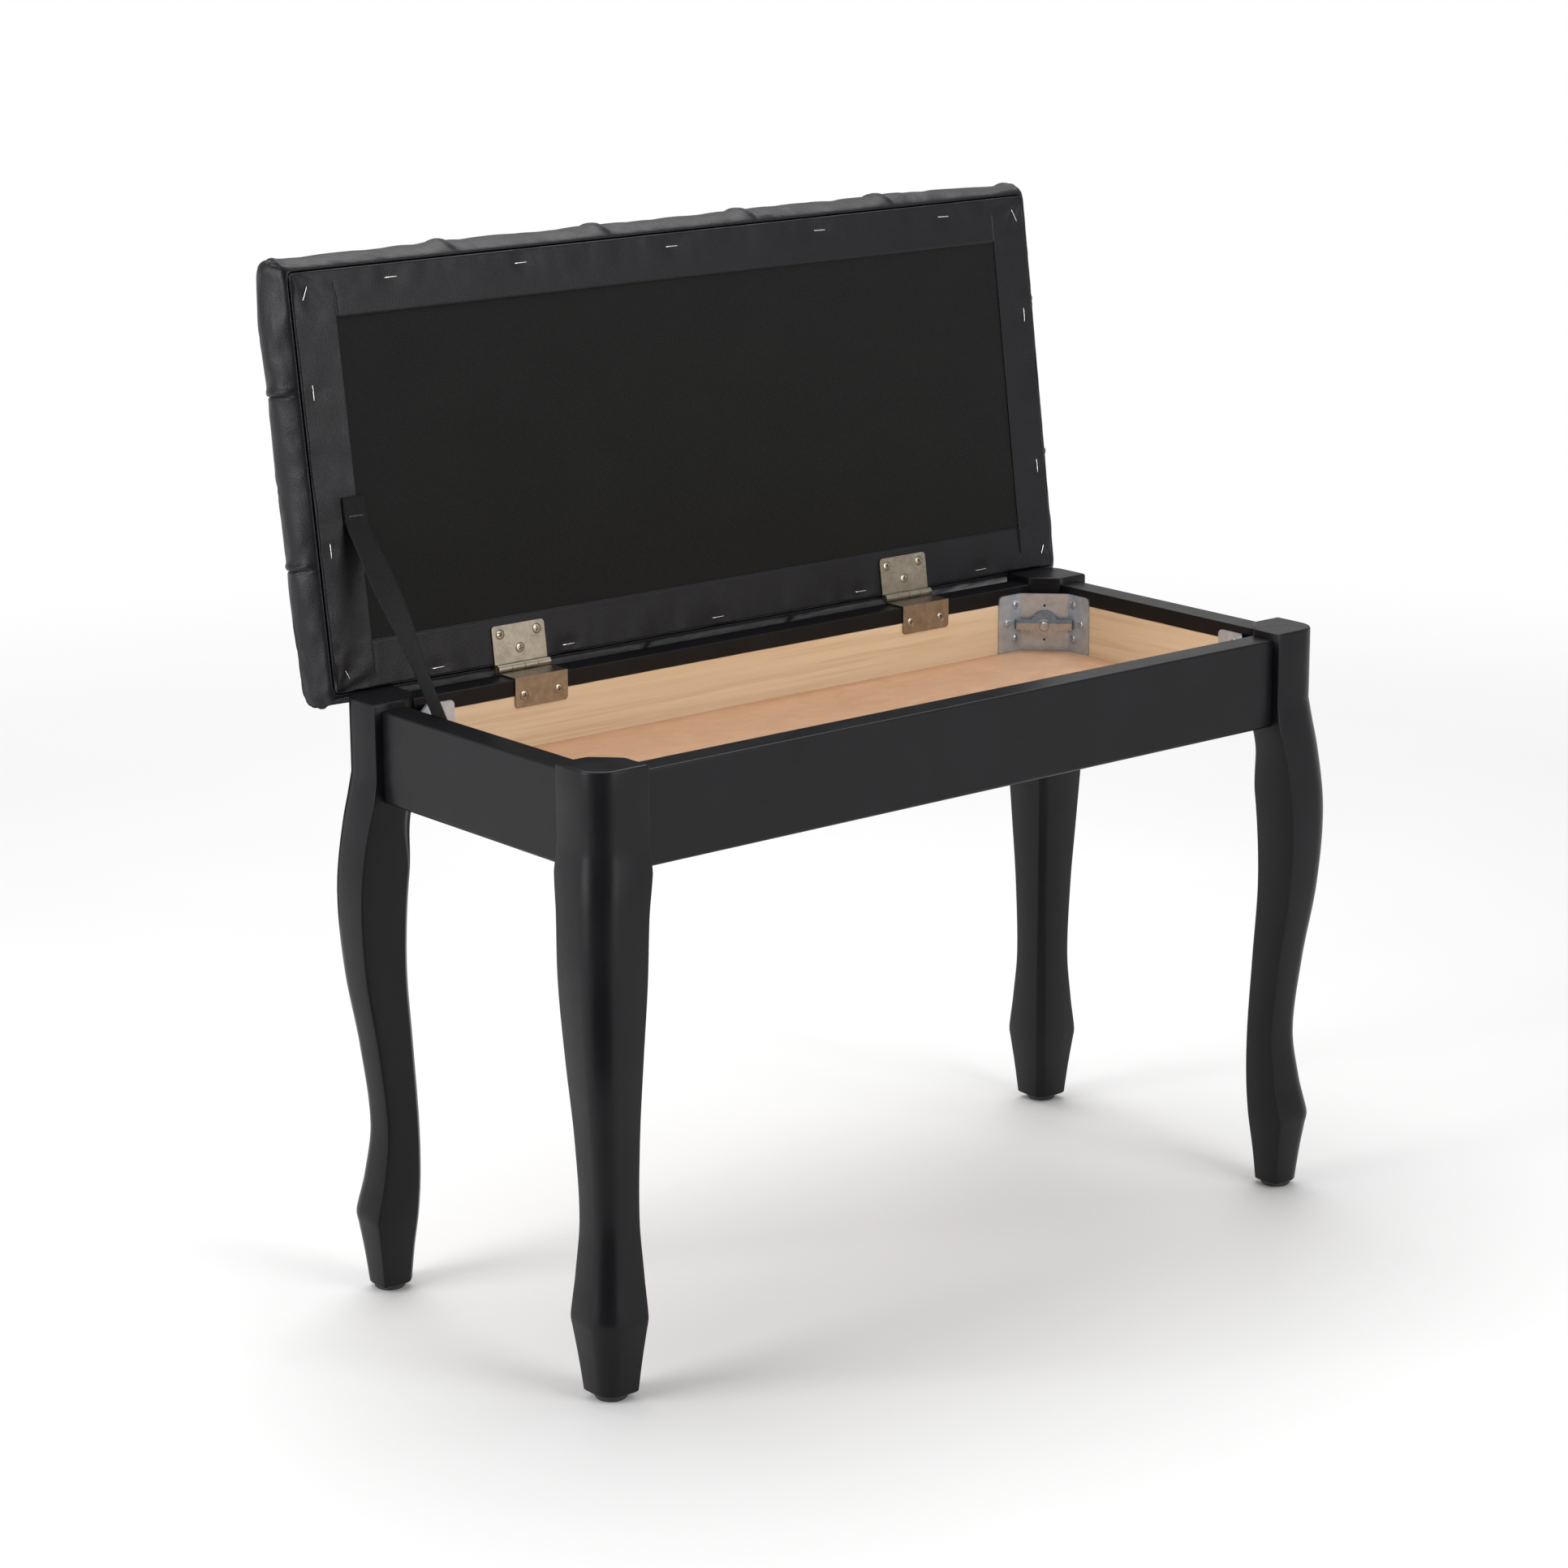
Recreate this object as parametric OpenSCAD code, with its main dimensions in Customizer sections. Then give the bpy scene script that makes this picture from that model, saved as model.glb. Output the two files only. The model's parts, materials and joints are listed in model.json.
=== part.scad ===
/* [Frame] */
// Width over the outer faces of the legs
frame_w = 700; // [620:5:860]
// Depth over the outer faces of the legs
frame_d = 309; // [290:1:360]
// Height of the leg tops above the floor
leg_h = 456; // [430:1:490]
// How far the leg tops stand above the rail tops
rail_drop = 5.5; // [4:0.5:8]
// Height of the four rails
rail_h = 69; // [60:1:80]
// Thickness of the four rails
rail_t = 22; // [18:0.5:25]
// How far the rails are set back from the outer faces of the legs
rail_setback = 6.5; // [4:0.5:10]
// Thickness of the floor panel of the storage box
panel_t = 5; // [3:0.5:6]
// Depth of the storage box below the rail tops
box_depth = 53; // [50:1:55]

/* [Legs] */
// Side of the square block at the top of a leg
leg_block = 46; // [44:1:50]
// How far the knee stands out past the block
knee_out = 9.5; // [6:0.5:12]
// How far the ankle is set in from the block
ankle_in = 5.5; // [3:0.5:8]
// Width of the ankle
ankle_w = 32; // [28:1:36]
// Diameter of the round glide under each foot
glide_d = 23; // [18:1:26]
// Height of the glide
glide_h = 4; // [3:0.5:6]

/* [Corner brackets] */
// Height of a bracket
bracket_h = 47; // [40:1:48]
// Width of the middle plate that faces the leg
bracket_plate_w = 40; // [36:1:46]
// Length of each flange along its rail
flange_l = 24; // [20:1:28]
// Steel thickness of a bracket
bracket_t = 1.6; // [1.2:0.1:2.5]
// Diameter of the hanger bolt
bolt_d = 8; // [6:1:8]
// Span of the wing nut from tip to tip
wing_span = 45; // [40:1:50]

/* [Hinges] */
// Width of a hinge along its pin
hinge_w = 48; // [40:1:60]
// Distance of each hinge's middle from the middle of the bench
hinge_x = 190; // [150:5:230]
// Steel thickness of the leaves
leaf_t = 1.3; // [1:0.1:1.6]
// Outer radius of the knuckles
knuckle_r = 3.3; // [3:0.1:3.6]
// Radius of the hinge pin
pin_r = 1.6; // [1.4:0.1:1.8]
// Length of the upper leaf from the pin
upper_leaf_l = 32; // [28:1:34]
// Height of the lower leaf's flange on the rail
lower_flange_h = 23; // [20:1:26]
// How far the lid turns from closed to open
lid_open_deg = 98; // [95:0.5:100]

/* [Lid] */
// Half the width of the lid at its underside
lid_half_w = 353.5; // [345:0.5:365]
// Depth of the lid at its underside
lid_d = 303; // [290:1:315]
// Thickness of the lid's board
board_t = 12; // [9:1:15]
// Thickness of the imitation leather
leather_t = 1; // [0.8:0.1:1.2]
// Height of the padding's edge above the underside
pad_edge_h = 45; // [40:1:50]
// Extra height of the padding's crown
pad_crown = 6; // [3:1:9]
// How far the padding bulges past the underside's edge
pad_bulge = 13; // [8:1:15]
// Width of the leather border turned under the board
border_w = 35; // [30:1:40]
// Panels along the lid, with a row of buttons between each two
tuft_cols = 5; // [4:1:6]
// Radius of a tufting button
button_r = 9; // [7:1:11]

/* [Strap] */
// Width of the lid strap
strap_w = 19; // [16:1:22]
// Thickness of the lid strap
strap_t = 1.2; // [1:0.1:1.6]

/* [Hidden] */
$fn = 48;

// Frame
rail_top = leg_h - rail_drop;
rail_bottom = rail_top - rail_h;
rail_inset = rail_setback + rail_t;
inner_x = frame_w / 2 - rail_inset;
inner_y = frame_d / 2 - rail_inset;
panel_top = rail_top - box_depth;
groove_d = 6;
panel_in_groove = 5.5;
fit = 0.3;

// Legs: [height, distance of the face from the block's outer face]
leg_outer = [
    [glide_h, 3], [30, 0], [60, -4], [90, 1], [130, ankle_in], [190, 1],
    [250, 3 - knee_out], [310, -knee_out], [362, 4 - knee_out], [rail_bottom + 18.5, 0]
];
leg_inner = [
    [glide_h, 31], [30, 33], [60, 36], [90, 37.5], [130, ankle_in + ankle_w], [190, 35.5],
    [250, 33.5], [310, 35.5], [350, leg_block - 6.5], [rail_bottom - 0.5, leg_block]
];
ring_step = 9;
leg_end_bevel = 1.2;
outer_round = 0.3;
side_round = 0.07;
leg_chamfer = leg_block - rail_inset;
low_chamfer = 5;
foot_inset = (leg_outer[0][1] + leg_inner[0][1]) / 2;

// Corner brackets, measured from the corner where the inner faces of two rails would meet
plate_reach = bracket_plate_w / sqrt(2);
plate_face = bracket_plate_w / 2 + bracket_t;
bracket_z = panel_top + 0.2;
bolt_z = bracket_z + 21.2;
flange_screws = [[6.8, 38.6], [15.7, 24], [6.8, 10.6]];
pan_head_r = 3.4;
pan_head_h = 1.5;

// Hinges
hinge_y = frame_d / 2 - rail_setback;
hinge_z = rail_top + 3.7;
lid_gap = 2.8;
leaf_corner = 3;
segment_w = hinge_w / 4;
segment_gap = 0.3;
flat_head_r = 4;
flat_head_h = 1.6;
upper_screws = [[-16.8, 25.4], [16.8, 25.4], [0, 13.4]];
lower_screw_x = 15.8;
lower_screw_z = -16.2;

// Lid, measured along the lid from the hinge axis (v) and up from it (w) with the lid closed
lid_v0 = 3.2;
lid_v1 = lid_v0 + lid_d;
board_inset = 1.3;
board_w0 = lid_gap + leather_t;
board_w1 = board_w0 + board_t;
pad_side = [
    [0, 0], [0.3, 4.7], [0.5 * pad_bulge, 8.5], [0.88 * pad_bulge, 15], [pad_bulge, 24],
    [0.8 * pad_bulge, 34], [0, pad_edge_h - 4], [-22, pad_edge_h], [-90, pad_edge_h + pad_crown]
];
plan_round = 20;
dust_t = 0.4;
dust_under = 9;
staple_w = 14;
staple_t = 1.1;
staple_proud = 0.4;
staple_leg = 8;
edge_staples = 10;
far_row = [-268, -152, -10, 137, 267];
near_row = [-263, -144, 0, 145, 274];
side_rows = [[-345, 220], [-345, 106], [345, 210], [345, 86]];
corner_staples = [[-343, 291, 25], [343, 291, -25], [-343, 17, -25], [343, 17, 25]];
tuft_rows = [94, 220];
button_h = 5;
button_top = lid_gap + pad_edge_h + 2;

// Strap: its ends are fixed to the lid at strap_v and to the left rail
strap_x = -322;
strap_v = 126;
strap_tab = 20;
strap_rail_y = 62;
strap_rail_z = 441;
strap_rings = 24;
strap_twist_end = 0.8;

// The bench stands with the middle of its open outline over the origin
back_reach = max([for (p = pad_side)
    hinge_y + open_y(lid_v1 + p[0], lid_gap + p[1])]);
centre_y = (back_reach - frame_d / 2 - knee_out) / 2;

function open_y(v, w) = v * sin(lid_open_deg - 90) + w * cos(lid_open_deg - 90);
function open_z(v, w) = v * cos(lid_open_deg - 90) - w * sin(lid_open_deg - 90);

// Value of a smooth curve through the points of a table at height z
function row_of(t, z, i = 0) = i >= len(t) - 2 || z < t[i + 1][0] ? i : row_of(t, z, i + 1);
function slope(t, i) =
    let (a = max(i - 1, 0), b = min(i + 1, len(t) - 1)) (t[b][1] - t[a][1]) / (t[b][0] - t[a][0]);
function curve(t, z) = z >= t[len(t) - 1][0] ? t[len(t) - 1][1] :
    let (i = row_of(t, z), h = t[i + 1][0] - t[i][0], u = (z - t[i][0]) / h)
    (1 + 2 * u) * (1 - u) * (1 - u) * t[i][1] + u * (1 - u) * (1 - u) * h * slope(t, i)
    + u * u * (3 - 2 * u) * t[i + 1][1] - u * u * (1 - u) * h * slope(t, i + 1);
function ease(u) = let (c = min(max(u, 0), 1)) c * c * (3 - 2 * c);
function arc(x, y, r, a0, a1, n) =
    [for (i = [0 : n]) let (a = a0 + (a1 - a0) * i / n) [x + r * cos(a), y + r * sin(a)]];

// Outline of a leg at one height, from its outer corner inwards
function leg_ring(z, bevel) =
    let (o = curve(leg_outer, z) + bevel, i = curve(leg_inner, z) - bevel, w = i - o)
    let (r = outer_round * w, s = side_round * w)
    let (c = low_chamfer + (leg_chamfer - low_chamfer) * ease((z - rail_bottom + 60) / 59))
    concat(
        arc(o + r, o + r, r, 180, 270, 4), arc(i - s, o + s, s, 270, 360, 2),
        [[i, i - c], [i - c, i]], arc(o + s, i - s, s, 90, 180, 2));

// A closed skin over rings of points, each ring seen anticlockwise from the last one
module skin(rings) {
    n = len(rings[0]);
    m = len(rings);
    polyhedron(
        [for (r = rings) for (p = r) p],
        concat(
            [[for (i = [0 : n - 1]) i]],
            [for (k = [0 : m - 2]) for (i = [0 : n - 1])
                let (j = (i + 1) % n, a = k * n, b = a + n)
                each [[a + i, b + i, b + j], [a + i, b + j, a + j]]],
            [[for (i = [n - 1 : -1 : 0]) (m - 1) * n + i]]));
}

// Everything is drawn about the middle of the four legs and moved to the origin here
module bench() {
    translate([0, -centre_y, 0]) children();
}

// The four corners: sx is -1 left and 1 right, sy is -1 front and 1 back
module corner(sx, sy, x, y) {
    mirror([sx > 0 ? 1 : 0, 0, 0]) mirror([0, sy > 0 ? 1 : 0, 0]) translate([-x, -y, 0]) children();
}

module lid_pose() {
    translate([0, hinge_y, hinge_z]) rotate([-lid_open_deg, 0, 0]) children();
}

module leg(sx, sy) {
    curved = [for (z = [glide_h + 10 : ring_step : leg_outer[len(leg_outer) - 1][0]]) z];
    heights = concat([glide_h, glide_h + leg_end_bevel], curved,
        [leg_outer[len(leg_outer) - 1][0], leg_h - leg_end_bevel, leg_h]);
    last = len(heights) - 1;
    color([0.12, 0.12, 0.13]) bench() corner(sx, sy, frame_w / 2, frame_d / 2)
        skin([for (k = [0 : last])
            [for (p = leg_ring(heights[k], k == 0 || k == last ? leg_end_bevel : 0))
                [p[0], p[1], heights[k]]]]);
}

module glide(sx, sy) {
    color([0.08, 0.08, 0.08]) bench() corner(sx, sy, frame_w / 2, frame_d / 2)
        translate([foot_inset, foot_inset, 0]) {
            cylinder(h = 1, d1 = glide_d - 2, d2 = glide_d);
            translate([0, 0, 1]) cylinder(h = glide_h - 1, d = glide_d);
        }
}

module glide_nails() {
    color("silver") bench() for (sx = [-1, 1], sy = [-1, 1])
        corner(sx, sy, frame_w / 2, frame_d / 2)
            translate([foot_inset, foot_inset, 2]) cylinder(h = 18, r = 1.2);
}

// Section of a rail: its outer face is at 0 and its inner face at rail_t
module rail_section() {
    difference() {
        polygon(concat(
            arc(3, 3, 3, 180, 270, 5), arc(rail_t - 1, 1, 1, 270, 360, 2),
            arc(rail_t - 0.8, rail_h - 0.8, 0.8, 0, 90, 2), arc(1.5, rail_h - 1.5, 1.5, 90, 180, 3)));
        translate([rail_t - groove_d, panel_top - panel_t - 0.2 - rail_bottom])
            square([groove_d + 1, panel_t + 0.2]);
    }
}

module rail_bar(length) {
    rotate([90, 0, 90]) translate([0, 0, -length / 2]) linear_extrude(length) rail_section();
}

module long_rail(sy) {
    color([0.14, 0.14, 0.15]) bench() mirror([0, sy > 0 ? 1 : 0, 0])
        translate([0, rail_setback - frame_d / 2, rail_bottom]) rail_bar(frame_w - 2 * leg_block);
}

module side_rail(sx) {
    color([0.14, 0.14, 0.15]) bench() mirror([sx > 0 ? 1 : 0, 0, 0])
        translate([rail_setback - frame_w / 2, 0, rail_bottom])
            rotate([0, 0, -90]) rail_bar(frame_d - 2 * leg_block);
}

module floor_panel() {
    px = inner_x + panel_in_groove;
    py = inner_y + panel_in_groove;
    lx = frame_w / 2 - leg_block - fit;
    ly = frame_d / 2 - leg_block - fit;
    quarter = [[lx, py], [lx, inner_y - fit], [inner_x - fit, ly], [px, ly]];
    function turned(sx, sy, pts) = [for (p = pts) [sx * p[0], sy * p[1]]];
    function reversed(pts) = [for (i = [len(pts) - 1 : -1 : 0]) pts[i]];
    color([0.8, 0.66, 0.52]) bench() translate([0, 0, panel_top - panel_t]) linear_extrude(panel_t)
        polygon(concat(
            quarter, turned(1, -1, reversed(quarter)), turned(-1, -1, quarter),
            turned(-1, 1, reversed(quarter))));
}

// A square bar whose far end along X has its upper and lower corner rounded off when subtracted
module corner_cutter(r, depth) {
    rotate([90, 0, 0]) translate([0, 0, -depth]) linear_extrude(2 * depth) difference() {
        translate([-r, -r]) square(r + 1);
        translate([-r, -r]) circle(r);
    }
}

module bracket_half_cutters() {
    end = plate_reach + flange_l;
    translate([end, 0, bracket_h]) corner_cutter(4, 5);
    translate([end, 0, 0]) mirror([0, 0, 1]) corner_cutter(1.5, 5);
    for (p = flange_screws)
        translate([plate_reach + p[0], -1, p[1]]) rotate([-90, 0, 0]) cylinder(h = 5, r = 2);
}

module bracket(sx, sy) {
    end = plate_reach + flange_l;
    bend = plate_reach + bracket_t * tan(22.5);
    color([0.68, 0.68, 0.66]) bench() corner(sx, sy, inner_x, inner_y) translate([0, 0, bracket_z])
        difference() {
            union() {
                linear_extrude(bracket_h) polygon([
                    [end, 0], [end, bracket_t], [bend, bracket_t], [bracket_t, bend],
                    [bracket_t, end], [0, end], [0, plate_reach], [plate_reach, 0]]);
                for (z = [9.2, 37.4]) rotate([0, 0, 45]) translate([plate_face - 0.5, 0, z])
                    rotate([0, 90, 0]) cylinder(h = 1.1, r = 2.4);
            }
            bracket_half_cutters();
            mirror([1, -1, 0]) bracket_half_cutters();
            rotate([0, 0, 45]) translate([0, 0, bolt_z - bracket_z])
                rotate([0, 90, 0]) cylinder(h = 40, r = bolt_d / 2 + 0.5);
            for (z = [9.2, 37.4]) rotate([0, 0, 45]) translate([0, 0, z])
                rotate([0, 90, 0]) cylinder(h = 40, r = 1);
        }
}

module diagonal(sx, sy) {
    bench() corner(sx, sy, inner_x, inner_y) rotate([0, 0, 45]) translate([plate_face, 0, bolt_z])
        children();
}

module hanger_bolt(sx, sy) {
    color([0.72, 0.72, 0.7]) diagonal(sx, sy) rotate([0, 90, 0]) {
        translate([0, 0, -44]) cylinder(h = 51.6, r = bolt_d / 2);
        translate([0, 0, 7.6]) cylinder(h = 0.9, r1 = bolt_d / 2, r2 = bolt_d / 2 - 0.9);
    }
}

// A pressed steel wing nut: a bar with a domed hub, creased along its length
module wing_nut(sx, sy) {
    color([0.7, 0.71, 0.72]) diagonal(sx, sy) difference() {
        union() {
            intersection() {
                rotate([90, 0, 90]) linear_extrude(10) union() {
                    translate([-wing_span / 2, -3]) square([wing_span, 8.4]);
                    translate([0, 0.8]) circle(11.3);
                    polygon([[-12.5, -2], [12.5, -2], [6.5, -8.6], [-6.5, -8.6]]);
                }
                rotate([90, 0, 0]) translate([0, 0, -wing_span]) linear_extrude(2 * wing_span)
                    polygon([[5.2, -8.6], [7, 2.6], [2.4, 12.4], [0.7, 12.4], [5.1, 2.6], [3.4, -8.6]]);
            }
            rotate([0, 90, 0]) cylinder(h = 6.2, r = 6);
        }
        translate([-1, 0, 0]) rotate([0, 90, 0]) cylinder(h = 12, r = bolt_d / 2 + 0.05);
    }
}

module cross_recess(depth) {
    for (a = [0, 90]) rotate([0, 0, a]) translate([-2, -0.4, -depth]) cube([4, 0.8, depth + 1]);
}

// Wood screws point down their own -Z from the surface they bear on
module pan_screw() {
    difference() {
        union() {
            cylinder(h = pan_head_h / 2, r = pan_head_r);
            translate([0, 0, pan_head_h / 2])
                cylinder(h = pan_head_h / 2, r1 = pan_head_r, r2 = 0.65 * pan_head_r);
            translate([0, 0, -12]) cylinder(h = 12, r = 1.7);
        }
        translate([0, 0, pan_head_h]) cross_recess(1);
    }
}

module flat_screw(length) {
    difference() {
        union() {
            translate([0, 0, -flat_head_h]) cylinder(h = flat_head_h, r1 = 1.8, r2 = flat_head_r - 0.1);
            translate([0, 0, -length]) cylinder(h = length - flat_head_h, r = 1.7);
        }
        cross_recess(1);
    }
}

module bracket_screws() {
    color([0.75, 0.75, 0.73]) bench() for (sx = [-1, 1], sy = [-1, 1])
        corner(sx, sy, inner_x, inner_y) translate([0, 0, bracket_z])
            for (m = [0, 1]) mirror([m, -m, 0]) for (p = flange_screws)
                translate([plate_reach + p[0], bracket_t, p[1]]) rotate([-90, 0, 0]) pan_screw();
}

// Knuckles k of a leaf: 0 and 2 belong to the upper leaf, 1 and 3 to the lower one
module knuckles(first) {
    for (k = [first, first + 2]) translate([-hinge_w / 2 + k * segment_w + segment_gap / 2, 0, 0])
        rotate([0, 90, 0]) cylinder(h = segment_w - segment_gap, r = knuckle_r);
}

module knuckle_room(first) {
    for (k = [first, first + 2]) translate([-hinge_w / 2 + k * segment_w - segment_gap / 2, 0, 0])
        rotate([0, 90, 0]) cylinder(h = segment_w + segment_gap, r = knuckle_r + 0.4);
}

module pin_bore() {
    translate([-hinge_w, 0, 0]) rotate([0, 90, 0]) cylinder(h = 2 * hinge_w, r = pin_r + 0.05);
}

module screw_seat() {
    translate([0, 0, -flat_head_h]) cylinder(h = flat_head_h, r1 = 1.9, r2 = flat_head_r);
    translate([0, 0, -4]) cylinder(h = 4, r = 1.9);
    cylinder(h = 2, r = flat_head_r);
}

// Square-cornered plate with its two far corners rounded, from y = 0 to y = -l
module leaf_plate(l) {
    linear_extrude(leaf_t) polygon(concat(
        [[hinge_w / 2, 0], [-hinge_w / 2, 0]],
        arc(-hinge_w / 2 + leaf_corner, -l + leaf_corner, leaf_corner, 180, 270, 4),
        arc(hinge_w / 2 - leaf_corner, -l + leaf_corner, leaf_corner, 270, 360, 4)));
}

module lower_leaf(sx) {
    flange_y = -rail_t;
    top_z = rail_top - hinge_z;
    color([0.72, 0.69, 0.63]) bench() translate([sx * hinge_x, hinge_y, hinge_z]) difference() {
        union() {
            knuckles(1);
            translate([-hinge_w / 2, flange_y - leaf_t, top_z]) cube([hinge_w, rail_t + leaf_t, leaf_t]);
            translate([0, flange_y, top_z + leaf_t]) rotate([90, 0, 0]) leaf_plate(lower_flange_h);
        }
        knuckle_room(0);
        for (k = [0, 2]) translate([-hinge_w / 2 + k * segment_w - segment_gap / 2, 0, -2 * knuckle_r])
            cube([segment_w + segment_gap, 3 * knuckle_r, 4 * knuckle_r]);
        pin_bore();
        for (s = [-1, 1]) translate([s * lower_screw_x, flange_y - leaf_t, lower_screw_z])
            rotate([90, 0, 0]) screw_seat();
    }
}

module upper_leaf(sx) {
    color([0.72, 0.69, 0.63]) bench() lid_pose() translate([sx * hinge_x, 0, 0]) difference() {
        union() {
            knuckles(0);
            translate([0, 0, lid_gap - leaf_t]) leaf_plate(upper_leaf_l);
        }
        knuckle_room(1);
        pin_bore();
        for (p = upper_screws) translate([p[0], -p[1], lid_gap - leaf_t]) mirror([0, 0, 1]) screw_seat();
    }
}

module hinge_pin(sx) {
    color([0.75, 0.73, 0.68]) bench() translate([sx * hinge_x - hinge_w / 2 - 0.3, hinge_y, hinge_z])
        rotate([0, 90, 0]) cylinder(h = hinge_w + 0.6, r = pin_r);
}

module hinge_rail_screws() {
    color([0.7, 0.67, 0.61]) bench() for (sx = [-1, 1], s = [-1, 1])
        translate([sx * hinge_x + s * lower_screw_x, hinge_y - rail_t - leaf_t, hinge_z + lower_screw_z])
            rotate([90, 0, 0]) flat_screw(15);
}

module hinge_lid_screws() {
    color([0.7, 0.67, 0.61]) bench() lid_pose() for (sx = [-1, 1], p = upper_screws)
        translate([sx * hinge_x + p[0], -p[1], lid_gap - leaf_t]) mirror([0, 0, 1]) flat_screw(12);
}

// A slab of the lid between v0 and v1 with rounded corners, from w0 up
module lid_slab(half_w, v0, v1, w0, height, r) {
    translate([0, 0, w0]) linear_extrude(height) polygon(concat(
        arc(half_w - r, -v0 - r, r, 0, 90, 6), arc(-half_w + r, -v0 - r, r, 90, 180, 6),
        arc(-half_w + r, -v1 + r, r, 180, 270, 6), arc(half_w - r, -v1 + r, r, 270, 360, 6)));
}

// The padded shape, shrunk on every side by skin
module pad_shape(skin) {
    function grown(p) = [p[0] - skin, min(max(p[1], skin), pad_edge_h + pad_crown - skin)];
    side = [for (p = pad_side) grown(p)];
    back = [for (i = [len(side) - 1 : -1 : 0]) side[i]];
    bulge = pad_bulge - skin;
    intersection() {
        rotate([90, 0, 0]) linear_extrude(2 * lid_d) polygon(concat(
            [for (p = side) [lid_half_w + p[0], lid_gap + p[1]]],
            [for (p = back) [-lid_half_w - p[0], lid_gap + p[1]]]));
        rotate([90, 0, 90]) translate([0, 0, -lid_half_w * 2]) linear_extrude(4 * lid_half_w)
            polygon(concat(
                [for (p = side) [-lid_v0 + p[0], lid_gap + p[1]]],
                [for (p = back) [-lid_v1 - p[0], lid_gap + p[1]]]));
        lid_slab(lid_half_w + bulge, lid_v0 - bulge, lid_v1 + bulge, 0, 80, plan_round - skin);
    }
}

module board_shape() {
    lid_slab(lid_half_w - board_inset, lid_v0 + board_inset, lid_v1 - board_inset, board_w0, board_t, 10);
}

module dust_shape() {
    out = border_w - dust_under;
    lid_slab(lid_half_w - out, lid_v0 + out, lid_v1 - out, board_w0 - dust_t, dust_t, 2);
}

module button_seats() {
    for (i = [1 : tuft_cols - 1], v = tuft_rows)
        translate([(i / tuft_cols - 0.5) * 2 * lid_half_w, -v, button_top - button_h])
            cylinder(h = 40, r = button_r + 0.5);
}

module lid_board() {
    color([0.78, 0.62, 0.42]) bench() lid_pose() board_shape();
}

module lid_foam() {
    color([0.9, 0.85, 0.6]) bench() lid_pose() difference() {
        pad_shape(leather_t);
        board_shape();
        button_seats();
    }
}

module lid_cover() {
    color([0.1, 0.1, 0.11]) bench() lid_pose() difference() {
        pad_shape(0);
        difference() {
            pad_shape(leather_t);
            dust_rim();
        }
        lid_slab(lid_half_w - border_w, lid_v0 + border_w, lid_v1 - border_w, 0, board_w1, 2);
        board_shape();
        dust_shape();
        button_seats();
    }
}

// Nothing is kept of the padding's inside below the board's underside
module dust_rim() {
    translate([-2 * lid_half_w, -2 * lid_d, 0]) cube([4 * lid_half_w, 4 * lid_d, board_w0]);
}

module lid_dust_cover() {
    color([0.13, 0.13, 0.12]) bench() lid_pose() dust_shape();
}

module lid_buttons() {
    color([0.1, 0.1, 0.11]) bench() lid_pose()
        for (i = [1 : tuft_cols - 1], v = tuft_rows)
            translate([(i / tuft_cols - 0.5) * 2 * lid_half_w, -v, button_top - button_h]) {
                cylinder(h = button_h - 2, r = button_r);
                translate([0, 0, button_h - 2]) cylinder(h = 2, r1 = button_r, r2 = 0.6 * button_r);
            }
}

// One staple across X, its crown standing proud of the leather below w = 0
module staple(w) {
    translate([-w / 2, -staple_t / 2, -staple_proud]) cube([w, staple_t, 0.6]);
    for (s = [-1, 1]) translate([s * (w / 2 - 0.5) - 0.5, -staple_t / 2, -staple_proud])
        cube([1, staple_t, staple_leg]);
}

module lid_staples() {
    color("silver") bench() lid_pose() translate([0, 0, lid_gap]) {
        for (x = far_row) translate([x, edge_staples - lid_v1, 0]) staple(staple_w);
        for (x = near_row) translate([x, -lid_v0 - 6, 0]) staple(staple_w);
        for (p = side_rows) translate([p[0], -p[1], 0]) rotate([0, 0, 90]) staple(staple_w);
        for (p = corner_staples) translate([p[0], -p[1], 0]) rotate([0, 0, 90 + p[2]]) staple(staple_w);
    }
}

// The strap's free run, a band that turns a quarter on its way down to its tab on the rail
module strap() {
    top = [strap_x, hinge_y + open_y(strap_v - 4.5, 1.6), hinge_z + open_z(strap_v - 4.5, 1.6)];
    foot = [-inner_x + strap_t / 2, strap_rail_y, strap_rail_z];
    across = [-1, -0.5, 0, 0.5, 1];
    edge = concat([for (s = across) [s, -1]], [for (s = across) [-s, 1]]);
    function middle(u) =
        [foot[0] + (top[0] - foot[0]) * (1 - ease(u / strap_twist_end)),
            top[1] + (foot[1] - top[1]) * u, top[2] + (foot[2] - top[2]) * u];
    function ring(p, a) =
        [for (c = edge)
            let (s = c[0] * strap_w / 2, t = c[1] * strap_t / 2 * (1 - 0.25 * c[0] * c[0]))
            [p[0] + s * cos(a) + t * sin(a), p[1] + s * sin(a) - t * cos(a), p[2]]];
    run = [for (k = [0 : strap_rings]) let (u = k / strap_rings)
        ring(middle(u), 90 * ease(u / strap_twist_end))];
    color([0.1, 0.1, 0.11]) bench() skin(concat(run, [ring(foot - [0, 0, strap_tab], 90)]));
}

module strap_lid_end() {
    color([0.1, 0.1, 0.11]) bench() lid_pose()
        translate([strap_x - strap_w / 2, -strap_v - strap_tab + 4, lid_gap - 2 * strap_t])
            cube([strap_w, strap_tab, 2 * strap_t]);
}

module strap_lid_staple() {
    color("silver") bench() lid_pose()
        translate([strap_x, -strap_v - 3, lid_gap - 2 * strap_t]) staple(12);
}

module strap_rail_staple() {
    color("silver") bench()
        translate([-inner_x + strap_t, strap_rail_y, strap_rail_z - 12])
            rotate([0, -90, 0]) rotate([0, 0, 90]) staple(12);
}

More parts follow.
